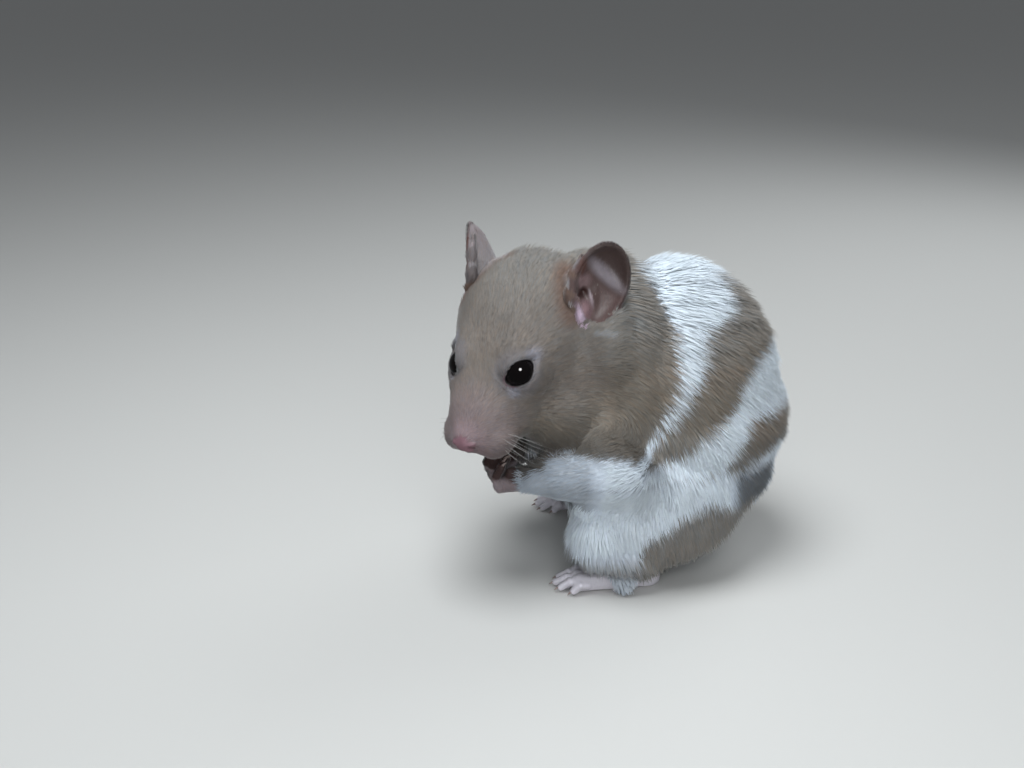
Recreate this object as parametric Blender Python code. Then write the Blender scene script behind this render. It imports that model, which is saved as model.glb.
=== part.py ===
"""A life-size Syrian hamster, sitting on its haunches with its forepaws raised to its chin.

Run it with: blender --background --python part.py

The animal faces -Y, its left side is +X, and it sits on the floor at Z 0. Sizes below are in
millimetres and reach out to the tips of the coat. The body is shaped from balls and tapered
limbs, fused into one skin and smoothed. Thin cuts then part it into head, neck, trunk and legs.
"""

import math

import bmesh
import bpy
from mathutils import Matrix, Vector

MM = 0.001
UP = Vector((0, 0, 1))
SLIVER = 0.0005  # edges shorter than this are closed up after a cut
CUT = 0.3  # width of the thin cut between two parts of the body
FLOOR_REACH = 120.0  # half the width of the block that flattens what rests on the floor

# --- Where the head is, and how it is held -------------------------------------------------
HEAD_PLACE = Vector((8.0, -23.0, 58.5))
HEAD_TURN = 50.0  # degrees to the animal's left
HEAD_NOD = 23.0  # degrees nose down
HEAD_TILT = -2.0  # degrees, right ear down is negative

# --- The flesh: balls as (centre, radii), limbs as stations of (point, radius) --------------
TRUNK_BALLS = {
    "rump": ((0, 12.5, 28), (25.5, 28, 23)),
    "seat": ((0, 8, 12), (20, 20, 13.5)),
    "loin": ((0, 13.5, 37), (25, 28.8, 25)),
    "back": ((0, 11, 43.5), (24, 28.5, 32)),
    "shoulders": ((2, -3, 47.5), (22, 21, 28)),
    "belly": ((0, 1, 23), (20, 15, 20)),
    "chest": ((6, -12, 39.5), (16, 12, 16)),
}
NECK_BALLS = {
    "nape": ((3, -6.5, 57.2), (21, 20, 21.4)),
    "throat": ((7, -15, 46), (18, 14, 14)),
}
HEAD_SECTIONS = (  # along the head: Y, half width, then the heights of top, widest and bottom
    (-28.4, 3.6, -3.0, -6.0, -9.8),
    (-25.5, 6.4, 0.2, -6.0, -12.0),
    (-21.0, 8.6, 3.8, -5.0, -14.5),
    (-15.0, 11.2, 8.2, 0.0, -16.5),
    (-9.0, 14.2, 12.2, 0.0, -18.5),
    (-2.0, 17.6, 15.8, -1.0, -20.0),
    (6.0, 19.4, 17.6, -3.0, -21.0),
    (13.0, 17.8, 17.0, -4.0, -20.0),
    (19.0, 12.0, 11.0, -3.0, -14.0),
)
SECTION_POINTS = 28
SECTION_FULLNESS = 2.25  # 2 is an ellipse, more is squarer
NOSE_BALL = ((0, -28.4, -6.2), (2.9, 2.6, 2.6))
CHIN_BALL = ((0, -17.5, -13.2), (5.0, 6.5, 3.6))
LIP_BALL = ((4.4, -23.2, -8.0), (4.8, 5.8, 4.6))  # the left one, mirrored for the right
CHEEK_BALL = ((11.0, 1, -8), (9.4, 13, 11.5))  # the left one, mirrored for the right

EYE_PLACE = Vector((8.1, -14.4, 4.0))  # in the head, the left one
EYE_RADIUS = 3.5
EYE_GAP = 0.3

# --- Ears: a cupped, egg-shaped shell ------------------------------------------------------
EARS = {  # in the head: lowest point, tip, and the way that the cup faces
    "left": ((17.4, 3.0, 5.6), (19.6, 12.6, 21.8), (0.72, -0.68, 0.1)),
    "right": ((-16.6, 3.6, 6.2), (-16.4, 13.2, 21.0), (-0.86, -0.5, 0.1)),
}
EAR_WIDTH = 12.8
EAR_SHIFT = 0.6  # towards the ear's rear edge
EAR_DEPTH = 4.4
EAR_BEND = 0.86  # how far round the cup bends, where 1 is a half ball
EAR_CURL = 0.3  # how far the upper rim curls forward, as a share of the depth
EAR_SET_BACK = 0.4  # how far the cup's middle is set back, as a share of the depth
EAR_NARROW, EAR_NARROW_POWER = 0.22, 1.3  # how much the lower half narrows, and how suddenly
EAR_THICK = 1.0
EAR_RINGS, EAR_SPOKES = 5, 16

# --- Legs ----------------------------------------------------------------------------------
FORELEG = {  # shoulder, elbow, middle of the forearm and wrist
    "left": (((16, -7, 40), 10), ((23.5, -1, 31.5), 7.8), ((22, -14, 30.6), 6.2), ((19.2, -24.4, 28.6), 3.4)),
    "right": (((-9, -9, 41), 10), ((-13.5, -10, 31), 7.6), ((-5, -19, 30), 6.0), ((6.4, -26.6, 28.4), 3.4)),
}
FOREPAW = {  # wrist, knuckles and fingertips, which curl up towards the mouth
    "left": ((19.2, -24.4, 28.4), (16.8, -29.3, 26.3), (17.8, -28.9, 32.6)),
    "right": ((6.4, -26.6, 28.2), (11.2, -30.2, 26.5), (12.4, -29.6, 32.6)),
}
PALM_RADII = (2.5, 2.0)
FINGERS = 4
FINGER_SPREAD = 1.5  # from one finger's root to the next
FINGER_RADII = (0.95, 0.75)
FINGER_BEND = 0.45  # where the middle joint is, as a share of the way that a finger curls
FINGER_BOW, FINGER_REACH = 1.6, 0.2  # how far on from the knuckles the middle joint and the tip are
OUTER_BACK, OUTER_SHORT = 0.35, 0.07  # how far an outer finger sits back, and how much shorter it is
FINGER_CLOSE = 0.25  # how far the tips close up, for each finger from the middle
JOINT_TAPER = 0.92  # a digit's middle joint against its root
CLAW_LONG, CLAW_RADIUS, CLAW_TAPER = 1.5, 0.4, 0.6

HAUNCH_BALL = ((18, 7, 22.5), (10.5, 21.5, 18))
KNEE_BALL = ((20, -6.5, 15.5), (7.6, 8.2, 9.2))
SHIN = (((21, -7, 12), 6.4), ((21, 3, 8.5), 6.6))
HAUNCH_CUT = ((11.5, 7, 18), (25, 24))  # inner end of the cut, and its radii along Y and Z
HEEL = Vector((21, 5.6, 2.6))
TOE_BALL = Vector((20.4, -11.0, 2.2))
HEEL_RADIUS, BALL_RADIUS = 2.9, 2.3
SOLE_SPREAD = 2.0  # from the middle of the sole to its side
TOES = 5
TOE_SPREAD = 1.7
TOE_LONG = 5.6
TOE_RADII = (1.2, 0.9)
TOE_FAN = 0.14  # how far each toe turns out, for each one from the middle
TOE_BACK, TOE_SHORT = 0.45, 0.09  # how far the outer toes sit back, and how much shorter they are
TOE_BEND = 0.55  # where the middle joint is along a toe
TOE_SINK = (0.25, 0.9)  # how far the middle joint and the tip come down

TAIL = (((-1, 20, 5), 3.2), ((-5, 27.5, 3.0), 2.1), ((-9, 31.5, 1.7), 1.3))

# --- Where the thin cuts go --------------------------------------------------------------------
HEAD_REACH = ((0, -5, 0), (26, 30, 25))  # an egg round the head, in its own frame
NECK_REACH = ((0, 0, -5), (32, 33, 31))  # a larger one round that, which leaves a collar
LIMB_SWELL = 1.2  # how far a foreleg's region reaches past the limb itself

# --- Fineness of the solids ------------------------------------------------------------------
REGION_SEGMENTS = 20
DISC_SEGMENTS = 36
LIMB_VOXEL = 1.0
LIMB_FACES = 260
FLESH_VOXEL = 0.9
FLESH_SMOOTH = 7
FLESH_FACES = 2850
PAW_VOXEL = 0.42
FOREPAW_FACES = 340
HINDFOOT_FACES = 360
TAIL_VOXEL = 0.5
TAIL_FACES = 160
EYE_SEGMENTS = 14

COLOURS = {  # base colour and roughness
    "coat": ((0.30, 0.24, 0.19), 0.9),
    "pale_coat": ((0.72, 0.73, 0.76), 0.9),
    "ear_skin": ((0.16, 0.10, 0.095), 0.5),
    "bare_skin": ((0.55, 0.36, 0.36), 0.55),
    "eye": ((0.006, 0.005, 0.005), 0.05),
}


# --- Tools -----------------------------------------------------------------------------------
def clear_scene():
    for obj in list(bpy.data.objects):
        bpy.data.objects.remove(obj)


def head_matrix():
    """Where the head's own frame is: nose at -Y, left at +X, in millimetres."""
    turn = Matrix.Rotation(math.radians(HEAD_TURN), 4, "Z")
    nod = Matrix.Rotation(math.radians(HEAD_NOD), 4, "X")
    tilt = Matrix.Rotation(math.radians(HEAD_TILT), 4, "Y")
    return Matrix.Translation(HEAD_PLACE) @ turn @ nod @ tilt


def new_object(name, mesh, material=None):
    obj = bpy.data.objects.new(name, mesh)
    bpy.context.scene.collection.objects.link(obj)
    if material:
        mesh.materials.clear()
        mesh.materials.append(material)
    return obj


def object_from(name, bm):
    """Turns a bmesh in millimetres into an object in metres."""
    bmesh.ops.recalc_face_normals(bm, faces=bm.faces)
    bm.transform(Matrix.Scale(MM, 4))
    mesh = bpy.data.meshes.new(name)
    bm.to_mesh(mesh)
    bm.free()
    return new_object(name, mesh)


def settle(obj):
    """Applies an object's modifiers, so that the next step reads a plain mesh."""
    graph = bpy.context.evaluated_depsgraph_get()
    mesh = bpy.data.meshes.new_from_object(obj.evaluated_get(graph))
    obj.modifiers.clear()
    obj.data = mesh
    return obj


def make_material(name):
    colour, roughness = COLOURS[name]
    material = bpy.data.materials.new(name)
    material.use_nodes = True
    shader = material.node_tree.nodes["Principled BSDF"]
    shader.inputs["Base Color"].default_value = (*colour, 1)
    shader.inputs["Roughness"].default_value = roughness
    shader.inputs["Metallic"].default_value = 0.0
    return material


def add_ball(bm, centre, radii, frame=Matrix(), segments=32):
    """Adds an ellipsoid."""
    size = Matrix.Diagonal((*radii, 1))
    place = frame @ Matrix.Translation(centre) @ size
    bmesh.ops.create_uvsphere(bm, u_segments=segments, v_segments=segments // 2, radius=1, matrix=place)


def add_taper(bm, start, start_radius, end, end_radius, frame=Matrix(), segments=20):
    """Adds the hull of two spheres: one length of a limb, finger or toe."""
    part = bmesh.new()
    for centre, radius in ((start, start_radius), (end, end_radius)):
        add_ball(part, centre, (radius,) * 3, segments=segments)
    hull = bmesh.ops.convex_hull(part, input=part.verts)
    inner = [item for item in hull["geom_interior"] if isinstance(item, bmesh.types.BMVert)]
    bmesh.ops.delete(part, geom=inner, context="VERTS")
    loose = [vert for vert in part.verts if not vert.link_faces]
    bmesh.ops.delete(part, geom=loose, context="VERTS")
    part.transform(frame)
    mesh = bpy.data.meshes.new("taper")
    part.to_mesh(mesh)
    part.free()
    bm.from_mesh(mesh)
    bpy.data.meshes.remove(mesh)


def add_limb(bm, stations, grow=0.0):
    """Adds tapered lengths from each station to the next."""
    for (start, start_radius), (end, end_radius) in zip(stations, stations[1:]):
        add_taper(bm, start, start_radius + grow, end, end_radius + grow)


def add_block(bm, low, high, frame=Matrix()):
    size = Matrix.Diagonal((*(h - l for l, h in zip(low, high)), 1))
    middle = Matrix.Translation([(l + h) / 2 for l, h in zip(low, high)])
    bmesh.ops.create_cube(bm, size=1, matrix=frame @ middle @ size)


def fuse(obj, voxel, rounds):
    """Fuses an object's overlapping shapes into one closed skin, and smooths it."""
    remesh = obj.modifiers.new("fuse", "REMESH")
    remesh.mode = "VOXEL"
    remesh.voxel_size = voxel * MM
    remesh.adaptivity = 0.0
    if rounds:
        smooth = obj.modifiers.new("smooth", "SMOOTH")
        smooth.factor = 0.5
        smooth.iterations = rounds
    return settle(obj)


def thin_out(obj, faces):
    """Brings a mesh down to about this many triangles."""
    count = sum(len(polygon.vertices) - 2 for polygon in obj.data.polygons)
    decimate = obj.modifiers.new("thin_out", "DECIMATE")
    decimate.ratio = faces / count
    return settle(obj)


def boolean(obj, tool, operation):
    modifier = obj.modifiers.new(operation.lower(), "BOOLEAN")
    modifier.operation = operation
    modifier.object = tool
    modifier.solver = "EXACT"
    return settle(obj)


def tool_object(draw):
    """A hidden cutter, drawn by a function that takes a bmesh."""
    bm = bmesh.new()
    draw(bm)
    tool = object_from("cutter", bm)
    tool.hide_render = True
    tool.display_type = "WIRE"
    return tool


def swollen(obj, name, distance):
    """A hidden copy of an object, swollen by this many millimetres: a cutter that leaves a gap."""
    copy = new_object(name, obj.data.copy())
    copy.hide_render = True
    copy.display_type = "WIRE"
    swell = copy.modifiers.new("swell", "DISPLACE")
    swell.mid_level = 0.0
    swell.strength = distance * MM
    return settle(copy)


def part_off(name, body, draw, material):
    """Takes what is inside a region off the body, and leaves a thin cut between the two.

    draw(bm) draws the region."""
    inside = tool_object(draw)
    around = swollen(inside, "cutter", CUT)
    part = new_object(name, body.data.copy(), material)
    boolean(part, inside, "INTERSECT")
    boolean(body, around, "DIFFERENCE")
    for tool in (inside, around):
        bpy.data.objects.remove(tool)
    keep_largest(part)
    return part


def trim_to(part, *neighbours):
    """Trims a part to its neighbours' surfaces, less a thin gap."""
    for neighbour in neighbours:
        root = swollen(neighbour, "neighbour_cutter", CUT)
        boolean(part, root, "DIFFERENCE")
        bpy.data.objects.remove(root)
    keep_largest(part)


def keep_largest(obj):
    """Drops the crumbs that a cut can leave beside a part."""
    bm = bmesh.new()
    bm.from_mesh(obj.data)
    bmesh.ops.dissolve_degenerate(bm, edges=bm.edges, dist=SLIVER * MM)
    left, groups = set(bm.verts), []
    while left:
        queue, group = [left.pop()], set()
        while queue:
            vert = queue.pop()
            group.add(vert)
            for edge in vert.link_edges:
                other = edge.other_vert(vert)
                if other in left:
                    left.remove(other)
                    queue.append(other)
        groups.append(group)
    largest = max(groups, key=len)
    crumbs = [vert for vert in bm.verts if vert not in largest]
    bmesh.ops.delete(bm, geom=crumbs, context="VERTS")
    bm.to_mesh(obj.data)
    bm.free()


def flatten_underside(obj):
    """Cuts away what is below the floor, so that the part rests on a flat."""
    reach = FLOOR_REACH
    tool = tool_object(lambda bm: add_block(bm, (-reach, -reach, -reach), (reach, reach, 0)))
    boolean(obj, tool, "DIFFERENCE")
    bpy.data.objects.remove(tool)


def mirrored(vector):
    return Vector((-vector[0], vector[1], vector[2]))


# --- The body ----------------------------------------------------------------------------------
def add_head(bm):
    """A loft through the head's sections, with its nose, chin, lips and cheeks."""
    head = head_matrix()
    rings = []
    for y, half_width, top, widest, bottom in HEAD_SECTIONS:
        ring = []
        for point in range(SECTION_POINTS):
            angle = point * math.tau / SECTION_POINTS
            across, up = rounded(math.cos(angle)), rounded(math.sin(angle))
            height = top - widest if up > 0 else widest - bottom
            ring.append(bm.verts.new(head @ Vector((half_width * across, y, widest + height * up))))
        rings.append(ring)
    for ring, after in zip(rings, rings[1:]):
        for point in range(SECTION_POINTS):
            beside = (point + 1) % SECTION_POINTS
            bm.faces.new((ring[point], ring[beside], after[beside], after[point]))
    bm.faces.new(rings[0])
    bm.faces.new(rings[-1])
    for centre, radii in (NOSE_BALL, CHIN_BALL, LIP_BALL, CHEEK_BALL):
        add_ball(bm, centre, radii, head)
        if centre[0]:
            add_ball(bm, mirrored(centre), radii, head)


def rounded(value):
    """A cosine or sine, made fuller than an ellipse's."""
    return math.copysign(abs(value) ** (2 / SECTION_FULLNESS), value)


def whole_body():
    """Head, neck, trunk and the furred part of the legs in one skin."""
    bm = bmesh.new()
    for centre, radii in (*TRUNK_BALLS.values(), *NECK_BALLS.values()):
        add_ball(bm, centre, radii)
    add_head(bm)
    for stations in FORELEG.values():
        add_limb(bm, stations)
    for sign in (1, -1):
        for (x, y, z), radii in (HAUNCH_BALL, KNEE_BALL):
            add_ball(bm, (sign * x, y, z), radii)
        add_limb(bm, [((sign * x, y, z), radius) for (x, y, z), radius in SHIN])
    body = fuse(object_from("body", bm), FLESH_VOXEL, FLESH_SMOOTH)
    thin_out(body, FLESH_FACES)
    flatten_underside(body)
    return body


def eye_sockets(head):
    """Hollows in the head that each eye sits in."""
    for place in (EYE_PLACE, mirrored(EYE_PLACE)):
        radius = EYE_RADIUS + EYE_GAP
        tool = tool_object(lambda bm: add_ball(bm, place, (radius,) * 3, head_matrix(), EYE_SEGMENTS))
        boolean(head, tool, "DIFFERENCE")
        bpy.data.objects.remove(tool)


def eyes(material):
    for side, place in (("left", EYE_PLACE), ("right", mirrored(EYE_PLACE))):
        bm = bmesh.new()
        add_ball(bm, place, (EYE_RADIUS,) * 3, head_matrix(), EYE_SEGMENTS)
        eye = object_from(f"eye_{side}", bm)
        eye.data.materials.append(material)
        eye.data.shade_smooth()


# --- Ears ------------------------------------------------------------------------------------
def ear_matrix(side):
    """The ear's own frame: +Z from its base to its tip, -Y out of the cup."""
    base, tip, faces = (Vector(point) for point in EARS[side])
    up = (tip - base).normalized()
    back = -(faces - faces.dot(up) * up).normalized()
    across = back.cross(up)
    turn = Matrix((across, back, up)).transposed().to_4x4()
    return head_matrix() @ Matrix.Translation(base) @ turn


def ear_point(radius, angle, height, sign):
    """A point of the cup: radius 0 at its middle to 1 at its rim. Its rear edge is at sign * X."""
    across = radius * math.cos(angle)
    along = radius * math.sin(angle)
    narrow = 1 - EAR_NARROW * max(0.0, -along) ** EAR_NARROW_POWER
    curl = EAR_CURL * radius**4 * max(0.0, math.sin(angle))
    x = across * EAR_WIDTH / 2 * narrow + sign * EAR_SHIFT
    y = EAR_DEPTH * (math.sqrt(1 - EAR_BEND * radius**2) - curl - EAR_SET_BACK)
    return Vector((x, y, (along + 1) * height / 2))


def ear(side, neighbours, material):
    """One ear, with its root trimmed to the surface that it grows from."""
    base, tip = (Vector(point) for point in EARS[side][:2])
    height = (tip - base).length
    sign = 1 if side == "left" else -1
    bm = bmesh.new()
    middle = bm.verts.new(ear_point(0, 0, height, sign))
    rings = []
    for ring in range(1, EAR_RINGS + 1):
        radius = ring / EAR_RINGS
        angles = [spoke * math.tau / EAR_SPOKES for spoke in range(EAR_SPOKES)]
        rings.append([bm.verts.new(ear_point(radius, angle, height, sign)) for angle in angles])
    for spoke in range(EAR_SPOKES):
        after = (spoke + 1) % EAR_SPOKES
        bm.faces.new((middle, rings[0][spoke], rings[0][after]))
        for inner, outer in zip(rings, rings[1:]):
            bm.faces.new((inner[spoke], outer[spoke], outer[after], inner[after]))
    bm.transform(ear_matrix(side))
    pinna = object_from(f"ear_{side}", bm)
    solidify = pinna.modifiers.new("thickness", "SOLIDIFY")
    solidify.thickness = EAR_THICK * MM
    solidify.offset = 0.0
    solidify.use_even_offset = True
    settle(pinna)
    pinna.data.materials.append(material)
    trim_to(pinna, *neighbours)
    pinna.data.shade_smooth()


# --- Paws and feet ----------------------------------------------------------------------------
def add_digit(bm, joints, radii):
    """A finger or toe through three joints, and its claw."""
    root, middle, tip = joints
    root_radius, tip_radius = radii
    add_taper(bm, root, root_radius, middle, root_radius * JOINT_TAPER, segments=10)
    add_taper(bm, middle, root_radius * JOINT_TAPER, tip, tip_radius, segments=10)
    point = tip + (tip - middle).normalized() * CLAW_LONG
    add_taper(bm, tip, CLAW_RADIUS, point, CLAW_RADIUS * CLAW_TAPER, segments=8)


def forepaw(side, neighbours, material):
    """A raised, cupped paw: the palm, and four fingers that curl up towards the mouth."""
    wrist, knuckles, tips = (Vector(point) for point in FOREPAW[side])
    along = (knuckles - wrist).normalized()
    curl = tips - knuckles
    across = along.cross(curl).normalized()
    bm = bmesh.new()
    add_taper(bm, wrist, PALM_RADII[0], knuckles, PALM_RADII[1], segments=16)
    for finger in range(FINGERS):
        place = finger - (FINGERS - 1) / 2
        root = knuckles + across * place * FINGER_SPREAD - along * OUTER_BACK * abs(place)
        middle = root + curl * FINGER_BEND + along * FINGER_BOW
        reach = curl * (1 - OUTER_SHORT * abs(place)) + along * FINGER_REACH
        tip = root + reach - across * place * FINGER_CLOSE
        add_digit(bm, (root, middle, tip), FINGER_RADII)
    paw = fuse(object_from(f"forepaw_{side}", bm), PAW_VOXEL, 1)
    thin_out(paw, FOREPAW_FACES)
    trim_to(paw, *neighbours)
    paw.data.materials.append(material)
    return paw


def hindfoot(side, neighbours, material):
    """A flat foot: heel, sole and five toes, trimmed to the leg above it."""
    sign = 1 if side == "left" else -1
    heel, ball = (Vector((sign * v.x, v.y, v.z)) for v in (HEEL, TOE_BALL))
    along = (ball - heel).normalized()
    across = UP.cross(along).normalized()
    bm = bmesh.new()
    for side_of_sole in (-1, 0, 1):
        knuckle = ball + across * side_of_sole * SOLE_SPREAD
        add_taper(bm, heel, HEEL_RADIUS, knuckle, BALL_RADIUS, segments=16)
    for toe in range(TOES):
        place = toe - (TOES - 1) / 2
        root = ball + across * place * TOE_SPREAD - along * TOE_BACK * place**2
        fan = along + across * place * TOE_FAN
        length = TOE_LONG * (1 - TOE_SHORT * place**2)
        middle = root + fan * length * TOE_BEND - UP * TOE_SINK[0]
        tip = root + fan * length - UP * TOE_SINK[1]
        add_digit(bm, (root, middle, tip), TOE_RADII)
    foot = fuse(object_from(f"hindfoot_{side}", bm), PAW_VOXEL, 1)
    thin_out(foot, HINDFOOT_FACES)
    flatten_underside(foot)
    trim_to(foot, *neighbours)
    foot.data.materials.append(material)


def tail(neighbours, material):
    """The short bare tail, which lies on the floor behind."""
    bm = bmesh.new()
    add_limb(bm, TAIL)
    stub = fuse(object_from("tail", bm), TAIL_VOXEL, 1)
    thin_out(stub, TAIL_FACES)
    flatten_underside(stub)
    trim_to(stub, *neighbours)
    stub.data.materials.append(material)


# --- Regions that the cuts follow ---------------------------------------------------------------


def head_region(bm):
    add_ball(bm, *HEAD_REACH, head_matrix(), REGION_SEGMENTS)


def neck_region(bm):
    add_ball(bm, *NECK_REACH, head_matrix(), REGION_SEGMENTS)


def haunch_region(sign):
    """A flat disc, outward from beside the spine, for one hind leg."""
    (inner, y, z), (long, high) = HAUNCH_CUT

    def draw(bm):
        reach = FLOOR_REACH / 2
        turn = Matrix.Rotation(math.radians(90), 4, "Y")
        size = Matrix.Diagonal((high, long, reach, 1))
        place = Matrix.Translation((sign * (inner + reach / 2), y, z)) @ turn @ size
        bmesh.ops.create_cone(
            bm, cap_ends=True, segments=DISC_SEGMENTS, radius1=1, radius2=1, depth=1, matrix=place
        )

    return draw


def foreleg_region(side):
    """One foreleg's own limb, a little swollen."""

    def draw(bm):
        limb = bmesh.new()
        add_limb(limb, FORELEG[side], LIMB_SWELL)
        cutter = fuse(object_from("limb_cutter", limb), LIMB_VOXEL, 0)
        thin_out(cutter, LIMB_FACES)
        cutter.data.transform(Matrix.Scale(1 / MM, 4))
        bm.from_mesh(cutter.data)
        bpy.data.objects.remove(cutter)

    return draw


def centre_over_origin():
    """Moves the whole animal so that its box is centred over the origin."""
    meshes = [obj.data for obj in bpy.data.objects]
    points = [vert.co for mesh in meshes for vert in mesh.vertices]
    middle = [(min(p[axis] for p in points) + max(p[axis] for p in points)) / 2 for axis in (0, 1)]
    for mesh in meshes:
        mesh.transform(Matrix.Translation((-middle[0], -middle[1], 0)))


def main():
    clear_scene()
    materials = {name: make_material(name) for name in COLOURS}
    body = whole_body()
    head = part_off("head", body, head_region, materials["coat"])
    forelegs, hindlegs = {}, {}
    for side, sign in (("left", 1), ("right", -1)):
        pale = materials["pale_coat"]
        forelegs[side] = part_off(f"foreleg_{side}", body, foreleg_region(side), pale)
        hindlegs[side] = part_off(f"hindleg_{side}", body, haunch_region(sign), pale)
    neck = part_off("neck", body, neck_region, materials["coat"])
    keep_largest(body)
    body.name = "trunk"
    body.data.materials.append(materials["coat"])
    for side in EARS:
        ear(side, (head, neck), materials["ear_skin"])
    eye_sockets(head)
    eyes(materials["eye"])
    skin = materials["bare_skin"]
    left_paw = forepaw("left", (forelegs["left"], head, neck), skin)
    forepaw("right", (forelegs["right"], head, neck, left_paw), skin)
    for side in ("left", "right"):
        hindfoot(side, (hindlegs[side], body), skin)
    tail((body, hindlegs["right"]), skin)
    centre_over_origin()


main()
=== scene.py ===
"""A syrian hamster at life size that sits up, forepaws at its mouth: skin, coat, eyes, claws, whiskers.

The solids of the frame give the outline out to the tips of the coat. One skin is made inside them, lower by
the depth of the coat in each region, and tufts that follow the lie of the coat fill the space back out to the
outline. Lengths are in millimetres until a mesh is made.
"""

import math

import bmesh
import bpy
import numpy as np
from mathutils import Matrix, Vector
from mathutils.bvhtree import BVHTree
from mathutils.kdtree import KDTree


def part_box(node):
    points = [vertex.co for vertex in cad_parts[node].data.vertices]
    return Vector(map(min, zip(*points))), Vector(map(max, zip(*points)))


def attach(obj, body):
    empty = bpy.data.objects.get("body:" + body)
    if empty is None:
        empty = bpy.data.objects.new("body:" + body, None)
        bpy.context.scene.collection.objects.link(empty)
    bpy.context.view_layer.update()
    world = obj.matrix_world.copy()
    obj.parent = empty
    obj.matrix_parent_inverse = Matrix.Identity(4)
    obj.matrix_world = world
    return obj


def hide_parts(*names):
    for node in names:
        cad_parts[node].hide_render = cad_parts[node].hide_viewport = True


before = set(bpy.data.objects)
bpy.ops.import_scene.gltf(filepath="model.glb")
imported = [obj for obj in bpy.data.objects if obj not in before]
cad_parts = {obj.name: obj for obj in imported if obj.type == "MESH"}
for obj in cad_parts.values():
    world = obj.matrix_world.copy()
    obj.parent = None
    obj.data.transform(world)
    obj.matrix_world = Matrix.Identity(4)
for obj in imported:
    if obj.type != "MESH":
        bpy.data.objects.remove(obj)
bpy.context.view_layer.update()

MM = 0.001
SEED = 11
SIDES = ("left", "right")
SIGN = {"left": 1, "right": -1}

# --- Where things are -------------------------------------------------------------------------------
# The head's own frame has the nose towards -Y, the animal's left towards +X and the crown towards +Z.
HEAD_TURN = 50.0  # degrees to the animal's left
HEAD_NOD = 23.0
HEAD_TILT = -2.0
HEAD_MIDDLE = (0, -4, 0)  # of the ball that the head fills, in the head's frame, as all down to the ears
HEAD_RADII = (22, 27, 23)
NOSE_PLACE = Vector((0.2, -29.8, -6.2))
EYE_PLACE = Vector((8.1, -14.4, 4.0))  # the left one
EYE_RADIUS = 3.5
EYE_OUT = Vector((0.60, -0.60, 0.53)).normalized()  # the left eye's way out of the head
EYE_CORNER = Vector((-0.52, -0.80, -0.31))  # and roughly the way to its front corner
EYE_FRONT = (EYE_CORNER - EYE_CORNER.dot(EYE_OUT) * EYE_OUT).normalized()
EYE_LOW = EYE_OUT.cross(EYE_FRONT)
EYE_SUNK = 0.9  # how far the ball sits under the solids' own
EYE_SHIFT = {"left": Vector((0.4, 0.6, 0.3)), "right": Vector((0.2, 0.3, -0.9))}
EARS = {  # lowest point, tip, and the way that the cup faces
    "left": ((17.4, 3.0, 5.6), (19.6, 12.6, 21.8), (0.72, -0.68, 0.1)),
    "right": ((-16.6, 3.6, 6.2), (-16.4, 13.2, 21.0), (-0.86, -0.5, 0.1)),
}
HEAD_PLACE = Vector((8.0, -23.0, 58.5))  # before the solids were centred, as all below
FOREPAW = {  # wrist, knuckles and fingertips
    "left": ((19.2, -24.4, 28.4), (16.8, -29.3, 26.3), (17.8, -28.9, 32.6)),
    "right": ((6.4, -26.6, 28.2), (11.2, -30.2, 26.5), (12.4, -29.6, 32.6)),
}
ELBOW = {"left": (23.5, -1.0, 31.5), "right": (-13.5, -10.0, 31.0)}
HEEL = (21.0, 5.6, 2.6)  # the left one
TOE_BALL = (20.4, -11.0, 2.2)


def head_turn():
    turn = Matrix.Rotation(math.radians(HEAD_TURN), 4, "Z")
    nod = Matrix.Rotation(math.radians(HEAD_NOD), 4, "X")
    tilt = Matrix.Rotation(math.radians(HEAD_TILT), 4, "Y")
    return turn @ nod @ tilt


def eye_middle(side):
    low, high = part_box(f"eye_{side}")
    return (low + high) / 2 / MM


HEAD = Matrix.Translation(eye_middle("left") - head_turn() @ EYE_PLACE) @ head_turn()
CENTRED = HEAD.translation - HEAD_PLACE  # how far the solids moved when they were centred
FLESH = ["head", "neck", "trunk", "tail"]
FLESH += [f"{part}_{side}" for part in ("foreleg", "hindleg") for side in SIDES]
BARE = [f"{part}_{side}" for part in ("forepaw", "hindfoot", "ear") for side in SIDES]
EAR_PARTS = [f"{part}_{side}" for part in ("ear", "earback", "root", "ridge") for side in SIDES]


def in_head(points):
    """Points of the row frame, as the head's own frame has them."""
    back = np.array(HEAD.inverted())
    return points @ back[:3, :3].T + back[:3, 3]


def from_head(point):
    return HEAD @ Vector(point)


def placed(point):
    """A point from before the solids were centred, in the row frame."""
    return Vector(point) + CENTRED


def eye_ball(side):
    """The middle of the ball that is drawn."""
    out = Vector((SIGN[side] * EYE_OUT.x, EYE_OUT.y, EYE_OUT.z))
    return eye_middle(side) + HEAD.to_3x3() @ (EYE_SHIFT[side] - out * EYE_SUNK)


def eye_point(side, point):
    """A point of an eye's own frame: +X to the front corner, +Y to the lower lid and +Z out of the head."""
    at = EYE_FRONT * point[0] + EYE_LOW * point[1] + EYE_OUT * point[2]
    at.x *= SIGN[side]
    return eye_ball(side) + HEAD.to_3x3() @ at


def in_eye(points, side):
    """Points of the row frame, as an eye's own frame has them."""
    turned = (points - np.array(eye_ball(side))) @ np.array(HEAD.to_3x3())
    return turned * (SIGN[side], 1, 1) @ np.array((EYE_FRONT, EYE_LOW, EYE_OUT)).T


# --- Numbers ----------------------------------------------------------------------------------------
def smooth(low, high, value):
    """0 below low, 1 above high, and a smooth rise between them. low may be the larger."""
    t = np.clip((value - low) / (high - low), 0, 1)
    return t * t * (3 - 2 * t)


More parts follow.
